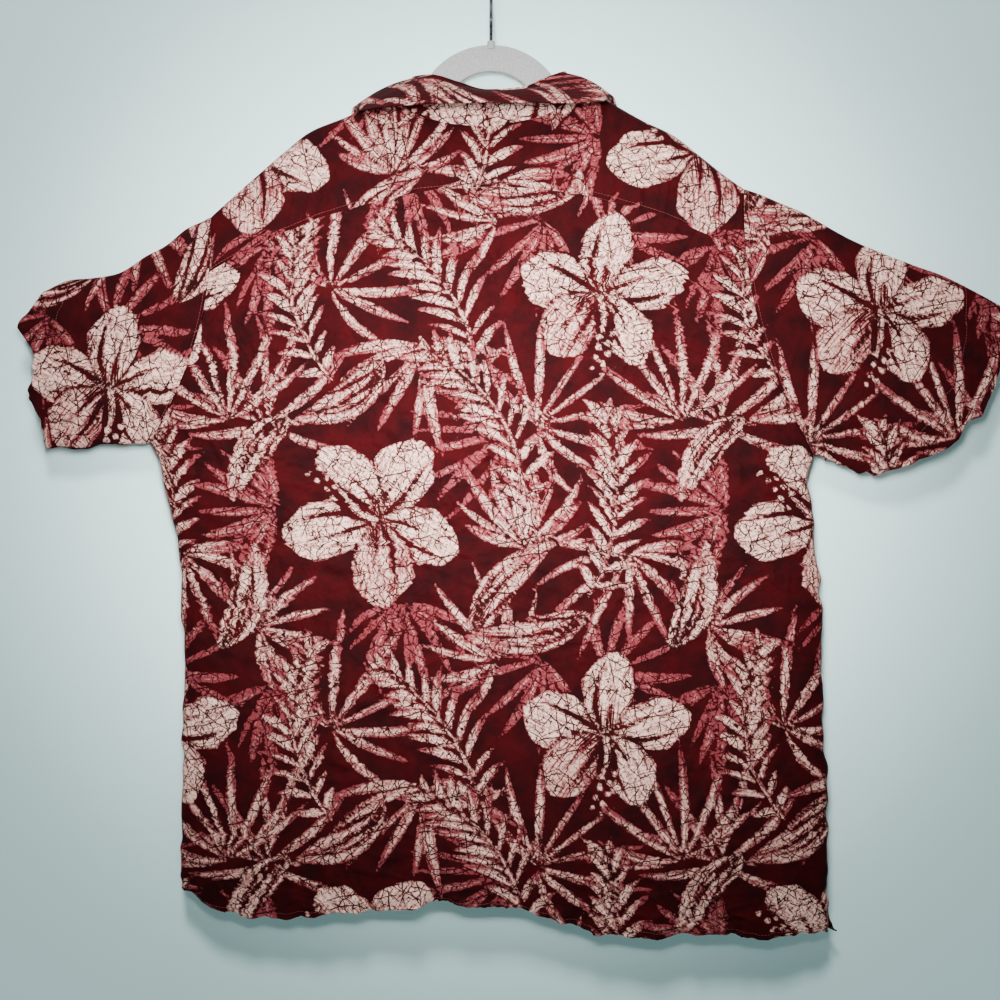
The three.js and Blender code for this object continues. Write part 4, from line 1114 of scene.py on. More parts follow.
def add(tree, kind, inputs=None, **settings):
    """Adds a node, sets its properties, and fills its sockets with values or other nodes."""
    made = tree.nodes.new("ShaderNode" + kind)
    for name, value in settings.items():
        setattr(made, name, value)
    for socket, value in (inputs or {}).items():
        if isinstance(value, bpy.types.Node):
            value = value.outputs[0]
        if isinstance(value, bpy.types.NodeSocket):
            tree.links.new(value, made.inputs[socket])
        else:
            made.inputs[socket].default_value = value
    return made


def material(name):
    """A new material with an empty tree of nodes."""
    made = bpy.data.materials.new(name)
    made.use_nodes = True
    made.node_tree.nodes.clear()
    return made, made.node_tree


# Marks in the wax, in millimetres: how far apart cracks and dots lie, and how many cracks run
# across a shape in each millimetre. A scratch has its way in degrees, its length and its spacing.
CRACK_SPACING = 15.0
DOT_SPACING = 6.5
CROSS_CRACKS = 0.11
SCRATCHES = ((12, 40, 17), (58, 30, 14), (101, 34, 16), (146, 32, 13))


def broken_lines(tree, across, along, low, high):
    """Lines about one unit apart, broken along their length: 0 on a line and 1 away from it."""
    line = add(
        tree, "TexVoronoi", {"W": across, "Scale": 1.0},
        voronoi_dimensions="1D", feature="DISTANCE_TO_EDGE",
    )
    part = add(tree, "CombineXYZ", {0: along, 1: across})
    broken = add(tree, "TexNoise", {"Vector": part, "Scale": 1.6, "Detail": 1.0}, noise_dimensions="2D")
    missing = add(tree, "MapRange", {0: broken, 1: 0.46, 2: 0.51, 3: 1.0, 4: 0.0})
    dark = add(tree, "MapRange", {0: line.outputs["Distance"], 1: low, 2: high})
    return add(tree, "Math", {0: dark, 1: missing}, operation="MAXIMUM")


def printed_rayon(name="printed_woven_rayon"):
    """Printed woven rayon: a soft matt crepe with a little sheen. Wax-resist work leaves pale
    shapes with fine dark cracks on a mottled deep red ground."""
    colours = bpy.context.scene.shirt_colours
    made, tree = material(name)
    flat = add(tree, "UVMap", uv_map="flat")
    place = add(tree, "VectorMath", {0: flat, "Scale": 1000.0}, operation="SCALE")  # millimetres
    depth = add(tree, "Attribute", attribute_name="print_depth")
    tone = add(tree, "Attribute", attribute_name="print_tone")
    shape = add(tree, "Attribute", attribute_name="print_shape")
    # Hand-cut edges wander by about 1 mm
    wander = add(tree, "TexNoise", {"Vector": place, "Scale": 0.22, "Detail": 2.0}, noise_dimensions="2D")
    off = add(tree, "Math", {0: wander, 1: 0.5}, operation="SUBTRACT")
    edge = add(tree, "Math", {0: off, 1: 3.0, 2: depth.outputs["Fac"]}, operation="MULTIPLY_ADD")
    light = add(tree, "MapRange", {0: edge, 1: -0.45, 2: 0.5}, interpolation_type="SMOOTHSTEP")
    # Cracks in the wax: a net of straight ones about 15 mm apart, and scratches that run four ways
    bent = add(tree, "TexNoise", {"Vector": place, "Scale": 0.06, "Detail": 2.0}, noise_dimensions="2D")
    bend = add(tree, "VectorMath", {0: bent.outputs["Color"], "Scale": 5.0}, operation="SCALE")
    crack_place = add(tree, "VectorMath", {0: place, 1: bend}, operation="ADD")
    net = add(
        tree, "TexVoronoi", {"Vector": crack_place, "Scale": 1 / CRACK_SPACING},
        voronoi_dimensions="2D", feature="DISTANCE_TO_EDGE",
    )
    patchy = add(tree, "TexNoise", {"Vector": place, "Scale": 0.045, "Detail": 2.0}, noise_dimensions="2D")
    width = add(tree, "MapRange", {0: patchy, 1: 0.36, 2: 0.66, 3: 0.012, 4: 0.075})
    distance = net.outputs["Distance"]
    whole = add(tree, "MapRange", {0: distance, 1: 0.008, 2: width}, interpolation_type="SMOOTHSTEP")
    for turn, length, apart in SCRATCHES:
        a = math.radians(turn)
        aside = (-math.sin(a) / apart, math.cos(a) / apart, 0)
        ahead = (math.cos(a) / length, math.sin(a) / length, 0)
        across = add(tree, "VectorMath", {0: crack_place, 1: aside}, operation="DOT_PRODUCT")
        along = add(tree, "VectorMath", {0: place, 1: ahead}, operation="DOT_PRODUCT")
        scratch = broken_lines(tree, across.outputs["Value"], along.outputs["Value"], 0.018, 0.055)
        whole = add(tree, "Math", {0: whole, 1: scratch}, operation="MULTIPLY")
    # Cracks that run across petals and blades, about 9 mm apart
    split = add(tree, "SeparateXYZ", {0: shape.outputs["Vector"]})
    lean = add(tree, "Math", {0: bent, 1: 3.0}, operation="MULTIPLY")
    rung = add(tree, "Math", {0: split.outputs[0], 1: CROSS_CRACKS, 2: lean}, operation="MULTIPLY_ADD")
    rung_part = add(tree, "Math", {0: split.outputs[1], 1: 0.07}, operation="MULTIPLY")
    rungs = broken_lines(tree, rung, rung_part, 0.03, 0.09)
    whole = add(tree, "Math", {0: whole, 1: rungs}, operation="MULTIPLY")
    # Brushed streaks along petals and leaves, closer towards their base
    along = add(tree, "Math", {0: split.outputs[0], 1: 0.035}, operation="MULTIPLY")
    across = add(tree, "Math", {0: split.outputs[1], 1: 0.42}, operation="MULTIPLY")
    streak_place = add(tree, "CombineXYZ", {0: along, 1: across, 2: split.outputs[2]})
    streak = add(tree, "TexNoise", {"Vector": streak_place, "Scale": 1.0, "Detail": 2.5, "Roughness": 0.6})
    limit = add(tree, "MapRange", {0: split.outputs[0], 1: 4.0, 2: 50.0, 3: 0.52, 4: 0.7})
    past = add(tree, "Math", {0: streak, 1: limit}, operation="SUBTRACT")
    brushed = add(tree, "MapRange", {0: past, 1: -0.012, 2: 0.03, 3: 1.0, 4: 0.0})
    broad = add(tree, "Math", {0: split.outputs[2], 1: 0.5}, operation="GREATER_THAN")
    streaks = add(tree, "Mix", {0: broad, 2: 1.0, 3: brushed}, data_type="FLOAT")
    pale = add(tree, "Math", {0: whole, 1: streaks}, operation="MULTIPLY")
    # Small specks where the dye got under the wax
    speck = add(
        tree, "TexNoise", {"Vector": place, "Scale": 0.3, "Detail": 3.0, "Roughness": 0.65},
        noise_dimensions="2D",
    )
    speckless = add(tree, "MapRange", {0: speck, 1: 0.64, 2: 0.68, 3: 1.0, 4: 0.15})
    dot = add(tree, "TexVoronoi", {"Vector": place, "Scale": 1 / DOT_SPACING}, voronoi_dimensions="2D")
    dotless = add(tree, "MapRange", {0: dot.outputs["Distance"], 1: 0.08, 2: 0.13, 3: 0.1, 4: 1.0})
    clear = add(tree, "Math", {0: speckless, 1: dotless}, operation="MULTIPLY")
    clear = add(tree, "Math", {0: pale, 1: clear}, operation="MULTIPLY")
    cover = add(tree, "Math", {0: clear, 1: light}, operation="MULTIPLY")
    # Colours: washed rose along brush strokes and round the rims, cream elsewhere
    cloud = add(
        tree, "TexNoise", {"Vector": place, "Scale": 0.03, "Detail": 5.0, "Roughness": 0.6},
        noise_dimensions="2D",
    )
    deep = add(tree, "MapRange", {0: cloud, 1: 0.34, 2: 0.66})
    ground = add(tree, "Mix", {0: deep, 6: colours.ground_dark, 7: colours.ground}, data_type="RGBA")
    veil = add(tree, "MapRange", {0: speck, 1: 0.36, 2: 0.6, 3: 0.08, 4: -0.26})
    strokes = add(tree, "MapRange", {0: streak, 1: 0.46, 2: 0.6, 3: 0.0, 4: -0.6})
    rim = add(tree, "MapRange", {0: edge, 1: 0.5, 2: 2.4, 3: -0.4, 4: 0.0})
    washed = add(tree, "Math", {0: strokes, 1: rim}, operation="ADD")
    washed = add(tree, "Math", {0: washed, 1: veil}, operation="ADD")
    tinted = add(tree, "Math", {0: tone.outputs["Fac"], 1: washed}, operation="ADD")
    tinted.use_clamp = True
    wash = add(tree, "Mix", {0: tinted, 6: colours.rose, 7: colours.cream}, data_type="RGBA")
    colour = add(tree, "Mix", {0: cover, 6: ground.outputs[2], 7: wash.outputs[2]}, data_type="RGBA")
    # Crepe crinkle about 4 mm wide, over a plain weave drawn at 0.9 mm, coarser than it is so that
    # it shows
    crinkle = add(tree, "TexNoise", {"Vector": place, "Scale": 0.21, "Detail": 3.0}, noise_dimensions="2D")
    crimp = add(tree, "Bump", {"Height": crinkle, "Strength": 0.6, "Distance": 0.0015})
    thread = {"Vector": place, "Scale": 0.35, "Distortion": 1.0, "Detail": 1.0}
    warp = add(tree, "TexWave", thread, bands_direction="X")
    weft = add(tree, "TexWave", thread, bands_direction="Y")
    weave = add(tree, "Math", {0: warp, 1: weft}, operation="ADD")
    cloth_bump = add(tree, "Bump", {"Height": weave, "Normal": crimp, "Strength": 0.2, "Distance": 0.0002})
    surface = add(tree, "BsdfPrincipled", {
        "Base Color": colour.outputs[2], "Roughness": 0.82, "Specular IOR Level": 0.08, "Normal": cloth_bump,
    })
    add(tree, "OutputMaterial", {"Surface": surface})
    return made


def sewing_thread(name="spun_polyester_thread"):
    """Spun polyester thread, twisted and faintly glossy, dyed near the ground's red."""
    colours = bpy.context.scene.shirt_colours
    made, tree = material(name)
    place = add(tree, "TexCoord")
    ply = add(
        tree, "TexWave", {"Vector": place.outputs["Object"], "Scale": 900.0, "Distortion": 2.0},
        bands_direction="DIAGONAL",
    )
    twist = add(tree, "Bump", {"Height": ply, "Strength": 0.4, "Distance": 0.0001})
    surface = add(tree, "BsdfPrincipled", {"Base Color": colours.thread, "Roughness": 0.55, "Normal": twist})
    add(tree, "OutputMaterial", {"Surface": surface})
    return made


def polyester_button(name="cast_polyester_button"):
    """Cast polyester, polished, with the streaks of brown horn."""
    colours = bpy.context.scene.shirt_colours
    made, tree = material(name)
    place = add(tree, "TexCoord")
    stretched = add(tree, "Mapping", {
        "Vector": place.outputs["Object"], "Scale": (160.0, 160.0, 460.0), "Rotation": (0.2, 0.5, 0.3),
    })
    grain = add(tree, "TexNoise", {"Vector": stretched, "Scale": 1.0, "Detail": 4.0, "Distortion": 0.6})
    share = add(tree, "MapRange", {0: grain, 1: 0.35, 2: 0.65})
    colour = add(tree, "Mix", {0: share, 6: colours.button_dark, 7: colours.button}, data_type="RGBA")
    surface = add(tree, "BsdfPrincipled", {
        "Base Color": colour.outputs[2], "Roughness": 0.28, "Coat Weight": 0.3, "IOR": 1.55,
    })
    add(tree, "OutputMaterial", {"Surface": surface})
    return made


def velvet_flock(name="flocked_polystyrene"):
    """Short nylon flock glued on a polystyrene hanger: matt, with a soft pale sheen."""
    colours = bpy.context.scene.shirt_colours
    made, tree = material(name)
    place = add(tree, "TexCoord")
    nap = add(tree, "TexNoise", {"Vector": place.outputs["Object"], "Scale": 420.0, "Detail": 2.0})
    share = add(tree, "MapRange", {0: nap, 1: 0.2, 2: 0.8})
    colour = add(tree, "Mix", {0: share, 6: colours.flock_dark, 7: colours.flock}, data_type="RGBA")
    # Fibres about 0.6 mm apart, drawn coarser than they are so that they show
    fibre = add(tree, "TexNoise", {"Vector": place.outputs["Object"], "Scale": 1600.0, "Detail": 1.0})
    fuzz = add(tree, "Bump", {"Height": fibre, "Strength": 0.5, "Distance": 0.0004})
    surface = add(tree, "BsdfPrincipled", {
        "Base Color": colour.outputs[2], "Roughness": 0.95, "Sheen Weight": 0.15,
        "Sheen Roughness": 0.6, "Specular IOR Level": 0.1, "Normal": fuzz,
    })
    add(tree, "OutputMaterial", {"Surface": surface})
    return made


def hook_wire(name="black_enamelled_steel"):
    """Drawn steel wire under glossy black enamel, with faint rub marks."""
    colours = bpy.context.scene.shirt_colours
    made, tree = material(name)
    place = add(tree, "TexCoord")
    rubbed = add(tree, "TexNoise", {"Vector": place.outputs["Object"], "Scale": 220.0, "Detail": 4.0})
    rough = add(tree, "MapRange", {0: rubbed, 1: 0.4, 2: 0.65, 3: 0.22, 4: 0.42})
    surface = add(tree, "BsdfPrincipled", {
        "Base Color": colours.wire, "Roughness": rough, "Coat Weight": 0.2, "IOR": 1.5,
    })
    add(tree, "OutputMaterial", {"Surface": surface})
    return made


def plain_board(name, one_sided=False):
    """Matt painted board for the floor and the wall behind."""
    made, tree = material(name)
    place = add(tree, "TexCoord")
    fine = add(tree, "TexNoise", {"Vector": place.outputs["Object"], "Scale": 55.0, "Detail": 4.0})
    tooth = add(tree, "Bump", {"Height": fine, "Strength": 0.08, "Distance": 0.001})
    surface = add(tree, "BsdfPrincipled", {
        "Base Color": bpy.context.scene.shirt_colours.backdrop, "Roughness": 0.95,
        "Specular IOR Level": 0.1, "Normal": tooth,
    })
    if one_sided:
        # Seen from behind, the wall is clear, so that the shirt's front shows
        clear = add(tree, "BsdfTransparent")
        side = add(tree, "NewGeometry")
        surface = add(tree, "MixShader", {0: side.outputs["Backfacing"], 1: surface, 2: clear})
    add(tree, "OutputMaterial", {"Surface": surface})
    return made


# Settings


def size_property(name, description, default, low, high):
    return bpy.props.FloatProperty(
        name=name, description=description, default=default, min=low, max=high, unit="LENGTH"
    )


def colour_property(name, description, default):
    return bpy.props.FloatVectorProperty(
        name=name, description=description, default=linear(default), size=4, min=0, max=1, subtype="COLOR"
    )


class ShirtSizes(bpy.types.PropertyGroup):
    hem: size_property("Hem", "Height of the turned hem", 0.02, 0.008, 0.05)
    cuff: size_property("Cuff hem", "Height of the turned cuffs", 0.025, 0.008, 0.05)
    facing: size_property("Facing", "Width of the turned front edges", 0.032, 0.01, 0.06)
    stitch: size_property("Stitch", "Length of one stitch", 0.0026, 0.001, 0.006)
    stitch_gap: size_property("Stitch gap", "Space between two stitches", 0.0007, 0.0003, 0.003)
    collar_wall: size_property("Collar ply", "Thickness of the collar's two plies", 0.0013, 0.0005, 0.003)
    pocket_wall: size_property("Pocket ply", "Thickness of the pocket and lapels", 0.0009, 0.0004, 0.002)
    camera_distance: size_property("Camera distance", "From the camera to the shirt", 1.8, 1.0, 5.0)


class ShirtColours(bpy.types.PropertyGroup):
    ground: colour_property("Ground", "The print's deep red ground", "#330003")
    ground_dark: colour_property("Dark ground", "Darker clouds in the ground", "#1E0002")
    cream: colour_property("Cream", "The print's palest shapes", "#E9BEAE")
    rose: colour_property("Rose", "The washed shapes behind", "#783036")
    thread: colour_property("Thread", "Sewing thread", "#6A2328")
    button: colour_property("Button", "Light streaks in the buttons", "#6B4A33")
    button_dark: colour_property("Dark button", "Dark streaks in the buttons", "#2C1A12")
    flock: colour_property("Flock", "The hanger's flock", "#9FA29F")
    flock_dark: colour_property("Dark flock", "Flock brushed the other way", "#858785")
    wire: colour_property("Wire", "The hook's enamel", "#0E0F11")
    backdrop: colour_property("Backdrop", "Floor and wall", "#D2F0F0")


# Operators


def middle_of(node):
    """The middle of a CAD node's box."""
    low, high = (Vector(corner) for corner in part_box(node))
    return (low + high) / 2


class SHIRT_OT_base:
    """What the shirt's operators share."""

    bl_options = {"REGISTER", "UNDO"}

    def finish(self, name, make):
        """A finish made once and shared by the pieces."""
        return bpy.data.materials.get(name) or make(name)

    def print_finish(self):
        return self.finish("printed_woven_rayon", printed_rayon)

    def thread(self):
        return self.finish("spun_polyester_thread", sewing_thread)

    def sew(self, piece, rows):
        """Stitches on a piece of cloth, which go with it."""
        sizes = bpy.context.scene.shirt_sizes
        name = piece.name.replace("_cloth", "") + "_stitches"
        made = stitches(name, rows, self.thread(), sizes.stitch / MM, sizes.stitch_gap / MM)
        made.parent = piece
        return made


class SHIRT_OT_back(SHIRT_OT_base, bpy.types.Operator):
    """Makes the back below the yoke, with its turned hem"""

    bl_idname = "shirt.back"
    bl_label = "Back"

    def execute(self, context):
        hem = steps(context.scene.shirt_sizes.hem / MM)
        grid = back_grid()
        flat = flat_places(grid, grid.shape[1] // 2)
        grid = sink(grid, False, [("first", "row"), ("first", "column"), ("last", "column")])
        sewn = [row_of(grid, False, -1 - hem)]
        grid, flat = turn_under(grid, flat, False, hem)
        piece = cloth("back_cloth", [(grid, flat, False)], self.print_finish())
        stitched = self.sew(piece, sewn)
        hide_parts("back_body")
        return {"FINISHED"}


class SHIRT_OT_yoke(SHIRT_OT_base, bpy.types.Operator):
    """Makes the yoke over both shoulders"""

    bl_idname = "shirt.yoke"
    bl_label = "Yoke"

    def execute(self, context):
        back_end, front_end = (ring_share(np.float64(row)) for row in (BACK_YOKE_ROW, FRONT_YOKE_ROW))
        back_rows = ring_row(np.linspace(0, back_end, 44))[::-1, None]
        front_rows = ring_row(np.linspace(0, front_end, 26))[:, None]
        patches, sewn = [], []
        outer = np.linspace(0, NECK_FIRST, 96)
        inner = np.linspace(NECK_FIRST, NECK_LAST, 90)
        for left in (True, False):
            columns = outer[None, :] if left else (BODY_COLUMNS - outer[::-1])[None, :]
            behind = yoke_point(left, -1, back_rows, columns)
            before = yoke_point(left, 1, front_rows, columns)
            whole = np.concatenate([behind, before[1:]])
            armhole_edge = ("first" if left else "last", "column")
            patches.append(self.patch(whole, [("first", "row"), ("last", "row"), armhole_edge]))
            sewn += [row_of(whole, True, -3), row_of(whole, True, 2)]
        neck = neck_yoke_point(back_rows, inner[None, :])
        patches.append(self.patch(neck, [("first", "row")]))
        sewn.append(row_of(neck, True, 2))
        piece = cloth("yoke_cloth", patches, self.print_finish(), shift=(128, 66), weld=True)
        stitched = self.sew(piece, sewn)
        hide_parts("yoke")
        return {"FINISHED"}

    def patch(self, grid, edges):
        """One part of the yoke, laid flat from its back seam up and over the shoulder."""
        down = np.linalg.norm(np.diff(grid, axis=0)[..., 1:], axis=-1)
        up = np.concatenate([np.zeros((1, grid.shape[1])), np.cumsum(down, axis=0)])
        flat = np.stack([grid[..., 0], grid[0, :, 2][None, :] + up], axis=-1)
        return sink(grid, True, edges), flat, True


class SHIRT_OT_fronts(SHIRT_OT_base, bpy.types.Operator):
    """Makes both fronts, with turned front edges and hems"""

    bl_idname = "shirt.fronts"
    bl_label = "Fronts"

    def execute(self, context):
        sizes = context.scene.shirt_sizes
        facing, hem = steps(sizes.facing / MM), steps(sizes.hem / MM)
        for left in (True, False):
            grid = front_grid(left)
            flat = flat_places(grid, grid.shape[1] - 1)
            grid = sink(grid, left, [("first", "row"), ("first", "column")])
            edge = row_of(swap(grid), not left, -1 - facing)
            below_neck = [line[FACING_STITCH_ROW:] for line in edge]
            sewn = [row_of(grid, left, -1 - hem), below_neck]
            if left:
                for i in range(BUTTON_COUNT):
                    sewn += self.buttonhole(middle_of(f"button_{i + 1}") / MM)
            turned, places = turn_under(swap(grid), swap(flat), not left, facing)
            grid, flat = turn_under(swap(turned), swap(places), left, hem)
            side = "left" if left else "right"
            shift = (210, 148) if left else (64, 302)
            piece = cloth(f"front_{side}_cloth", [(grid, flat, left)], self.print_finish(), shift)
            stitched = self.sew(piece, sewn)
            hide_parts(f"front_{side}")
        return {"FINISHED"}

    def buttonhole(self, middle):
        """The worked edge of an upright buttonhole round a button's middle: close stitches on
        both its sides and a bar at each end."""
        down = np.linspace(-1, 1, 24)
        over = np.linspace(-1, 1, 8)
        hole = BUTTONHOLE
        lines = []
        for way in (-1, 1):
            side_x, bar_z = middle.x + way * hole["half_width"], middle.z + way * hole["bar_z"]
            lines.append((side_x + 0 * down, middle.z + hole["half_height"] * down))
            lines.append((middle.x + hole["bar_half"] * over, bar_z + 0 * over))
        sewn = []
        for x, z in lines:
            spots = front_at(True, x, z)
            sewn.append((spots, np.tile((0.0, 1.0, 0.0), (len(spots), 1))))
        return sewn


class SHIRT_OT_sleeves(SHIRT_OT_base, bpy.types.Operator):
    """Makes both short sleeves, with turned cuffs"""

    bl_idname = "shirt.sleeves"
    bl_label = "Sleeves"

    def execute(self, context):
        sizes = context.scene.shirt_sizes
        cuff = steps(sizes.cuff / MM)
        for left in (True, False):
            grid = sleeve_grid(left)
            flat = sleeve_flat(grid, left)
            grid = sink(grid, not left, [("first", "row"), ("first", "column"), ("last", "column")], 0.3)
            sewn = [row_of(grid, not left, -1 - cuff), row_of(grid, not left, 2)]
            grid, flat = turn_under(grid, flat, not left, cuff)
            side = "left" if left else "right"
            shift = (40, 96) if left else (180, 20)
            piece = cloth(f"sleeve_{side}_cloth", [(grid, flat, not left)], self.print_finish(), shift)
            stitched = self.sew(piece, sewn)
            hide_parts(f"sleeve_{side}")
        return {"FINISHED"}


class SHIRT_OT_collar(SHIRT_OT_base, bpy.types.Operator):
    """Makes the camp collar: its stand, roll and leaf"""

    bl_idname = "shirt.collar"
    bl_label = "Collar"

    def execute(self, context):
        grid = collar_grid()
        across = np.linalg.norm(np.diff(grid, axis=1), axis=-1).mean(axis=0)
        u = np.concatenate([[0], np.cumsum(across)])
        up = np.linalg.norm(np.diff(grid, axis=0), axis=-1)
        v = np.concatenate([np.zeros((1, grid.shape[1])), np.cumsum(up, axis=0)])
        flat = np.stack(np.broadcast_arrays(u[None, :], v), axis=-1)
        piece = cloth("collar_cloth", [(grid, flat, True)], self.print_finish(), shift=(150, 355))
        thicken(piece, context.scene.shirt_sizes.collar_wall / MM)
        edge = row_of(grid, True, -4, 0.7)
        stitched = self.sew(piece, [edge])
        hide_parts("collar")
        return {"FINISHED"}


class SHIRT_OT_overlays(SHIRT_OT_base, bpy.types.Operator):
    """Makes the turned-back lapels and the chest pocket"""

    bl_idname = "shirt.overlays"
    bl_label = "Lapels and pocket"

    def execute(self, context):
        wall = context.scene.shirt_sizes.pocket_wall / MM
        for left in (True, False):
            grid = lapel_grid(left)
            grid = grid + LAPEL_LIFT * normals_of(grid, left)
            side = "left" if left else "right"
            patch = (grid, grid[..., ::2].copy(), left)
            piece = cloth(f"lapel_{side}_cloth", [patch], self.print_finish(), shift=(0, 40))
            thicken(piece, wall)
            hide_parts(f"lapel_{side}")
        grid = pocket_grid()
        grid = grid + POCKET_LIFT * normals_of(grid, True)
        patch = (grid, grid[..., ::2].copy(), True)
        piece = cloth("pocket_cloth", [patch], self.print_finish(), shift=(232, 160))
        thicken(piece, wall)
        sides = swap(grid)
        sewn = [row_of(sides, False, place, 0.5) for place in (1, -2)]
        sewn += [row_of(grid, True, place, 0.5) for place in (-2, steps(POCKET_HEM))]
        stitched = self.sew(piece, sewn)
        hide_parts("pocket")
        return {"FINISHED"}


def settle(piece, name, finish):
    """Puts a modelled piece's place in its mesh, and gives it its name and finish."""
    bpy.ops.object.transform_apply(location=True, rotation=True, scale=True)
    piece.name = name
    piece.data.name = name
    piece.data.materials.clear()
    piece.data.materials.append(finish)
    bpy.ops.object.shade_smooth_by_angle(angle=math.radians(40))


def choose_faces(piece, wanted):
    """Selects, in edit mode, the faces whose middle the test accepts."""
    bpy.ops.mesh.select_mode(type="FACE")
    bpy.ops.mesh.select_all(action="DESELECT")
    bpy.ops.object.mode_set(mode="OBJECT")
    for face in piece.data.polygons:
        face.select = wanted(face)
    bpy.ops.object.mode_set(mode="EDIT")


class SHIRT_OT_hook(SHIRT_OT_base, bpy.types.Operator):
    """Makes the hook's bent wire"""

    bl_idname = "shirt.hook"
    bl_label = "Hook"

    def execute(self, context):
        radius = HOOK["inside"] + HOOK["wire"]
        turn = math.radians(HOOK["end_angle"] / HOOK["parts"])
        reach = 4 / 3 * math.tan(turn / 4) * radius
        # Each point's place along Y and Z, and its handle's offset
        route = [((0, HOOK["foot"]), (0, HOOK["foot_handle"])), ((0, HOOK["bend"]), (0, HOOK["bend_handle"]))]
        for i in range(HOOK["parts"] + 1):
            a = turn * i
            middle = (radius * math.cos(a), radius * math.sin(a) - HOOK["inside"])
            handle = reach if i else HOOK["start_handle"]
            route.append((middle, (-handle * math.sin(a), handle * math.cos(a))))
        start_clean()
        bpy.ops.curve.primitive_bezier_curve_add(location=(0, 0, 0))
        wire = context.object
        line = wire.data.splines[0]
        line.bezier_points.add(len(route) - len(line.bezier_points))
        for point, ((y, z), (back_y, back_z)) in zip(line.bezier_points, route):
            point.handle_left_type = point.handle_right_type = "FREE"
            point.co = Vector((0, y, z)) * MM
            point.handle_left = Vector((0, y - back_y, z - back_z)) * MM
            point.handle_right = Vector((0, y + back_y, z + back_z)) * MM
        line.bezier_points[2].handle_right = line.bezier_points[2].co + Vector((0, 0, reach)) * MM
        wire.data.resolution_u = 14
        wire.data.bevel_depth = HOOK["wire"] * MM
        wire.data.bevel_resolution = 6
        wire.data.use_fill_caps = True
        bpy.ops.object.convert(target="MESH")
        wire = context.object
        bpy.ops.object.mode_set(mode="EDIT")
        bpy.ops.mesh.select_all(action="SELECT")
        bpy.ops.mesh.remove_doubles(threshold=0.01 * MM)
        choose_faces(wire, lambda face: len(face.vertices) > 4)
        bpy.ops.mesh.inset(thickness=HOOK["end_inset"] * MM, depth=HOOK["end_rise"] * MM)
        bpy.ops.object.mode_set(mode="OBJECT")
        settle(wire, "hook_wire", self.finish("black_enamelled_steel", hook_wire))
        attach(wire, BODY)
        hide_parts("hook")
        return {"FINISHED"}


class SHIRT_OT_buttons(SHIRT_OT_base, bpy.types.Operator):
    """Makes the four-hole buttons and the thread through them"""

    bl_idname = "shirt.buttons"
    bl_label = "Buttons"

    def execute(self, context):
        first = middle_of("button_1")
        pattern = self.model(first)
        for i in range(BUTTON_COUNT):
            piece = pattern
            if i:
                choose(pattern)
                bpy.ops.object.duplicate()
                piece = context.object
                bpy.ops.transform.translate(value=middle_of(f"button_{i + 1}") - first)
                bpy.ops.object.transform_apply(location=True, rotation=True, scale=True)
                piece.name = piece.data.name = f"button_{i + 1}_made"
            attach(piece, BODY)
            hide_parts(f"button_{i + 1}")
        return {"FINISHED"}

    def model(self, spot):
        """One button: turned rim, dished middle, four holes and two bars of thread."""
        radius, thickness = BUTTON["radius"] * MM, BUTTON["thickness"] * MM
        start_clean()
        bpy.ops.mesh.primitive_cylinder_add(
            vertices=48, radius=radius, depth=thickness, location=spot, rotation=(-math.pi / 2, 0, 0),
        )
        button = bpy.context.object
        bpy.ops.object.mode_set(mode="EDIT")
        choose_faces(button, lambda face: face.normal.z > 0.9)
        bpy.ops.mesh.inset(thickness=BUTTON["lip"] * MM, depth=0)
        bpy.ops.mesh.inset(thickness=BUTTON["dish"] * MM, depth=-BUTTON["rim"] * MM)
        bpy.ops.mesh.select_all(action="DESELECT")
        bpy.ops.mesh.select_mode(type="EDGE")
        bpy.ops.object.mode_set(mode="OBJECT")
        for edge in button.data.edges:
            ends = [button.data.vertices[v].co for v in edge.vertices]
            outer = all(abs(math.hypot(end.x, end.y) - radius) < 1e-5 for end in ends)
            edge.select = outer and abs(ends[0].z - ends[1].z) < 1e-6
        bpy.ops.object.mode_set(mode="EDIT")
        bpy.ops.mesh.bevel(offset=BUTTON["bevel"] * MM, segments=3)
        bpy.ops.object.mode_set(mode="OBJECT")
        gap = BUTTON["hole_spacing"] * MM
        places = [(x * gap, z * gap) for x in (-1, 1) for z in (-1, 1)]
        for x, z in places:
            start_clean()
            bpy.ops.mesh.primitive_cylinder_add(
                vertices=20, radius=BUTTON["hole_radius"] * MM, depth=thickness * 3,
                location=spot + Vector((x, 0, z)), rotation=(-math.pi / 2, 0, 0),
            )
            drill = bpy.context.object
            choose(button)
            cut = button.modifiers.new("hole", "BOOLEAN")
            cut.operation = "DIFFERENCE"
            cut.object = drill
            bpy.ops.object.modifier_apply(modifier=cut.name)
            choose(drill)
            bpy.ops.object.delete()
        choose(button)
        settle(button, "button_1_made", self.finish("cast_polyester_button", polyester_button))
        dish = thickness / 2 - BUTTON["rim"] * MM
        bars = [self.thread_bar(spot + Vector((x * gap, dish, 0)), gap) for x in (-1, 1)]
        choose(*bars, button)
        bpy.ops.object.join()
        return button

    def thread_bar(self, spot, gap):
        """A bar of sewing thread from one hole to the next, its ends down in them."""
        start_clean()
        bpy.ops.mesh.primitive_torus_add(
            location=spot - Vector((0, 0.5 * MM, 0)), rotation=(0, math.pi / 2, 0),
            major_segments=28, minor_segments=8, major_radius=gap, minor_radius=BUTTON["thread_radius"] * MM,
        )
        bar = bpy.context.object
        bar.scale = (1, 0.62, 1)
        settle(bar, "thread_bar", self.thread())
        return bar


class SHIRT_OT_hanger(SHIRT_OT_base, bpy.types.Operator):
    """Gives the hanger its flock"""

    bl_idname = "shirt.hanger"
    bl_label = "Hanger"

    def execute(self, context):
        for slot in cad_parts["hanger"].material_slots:
            slot.material = self.finish("flocked_polystyrene", velvet_flock)
        return {"FINISHED"}


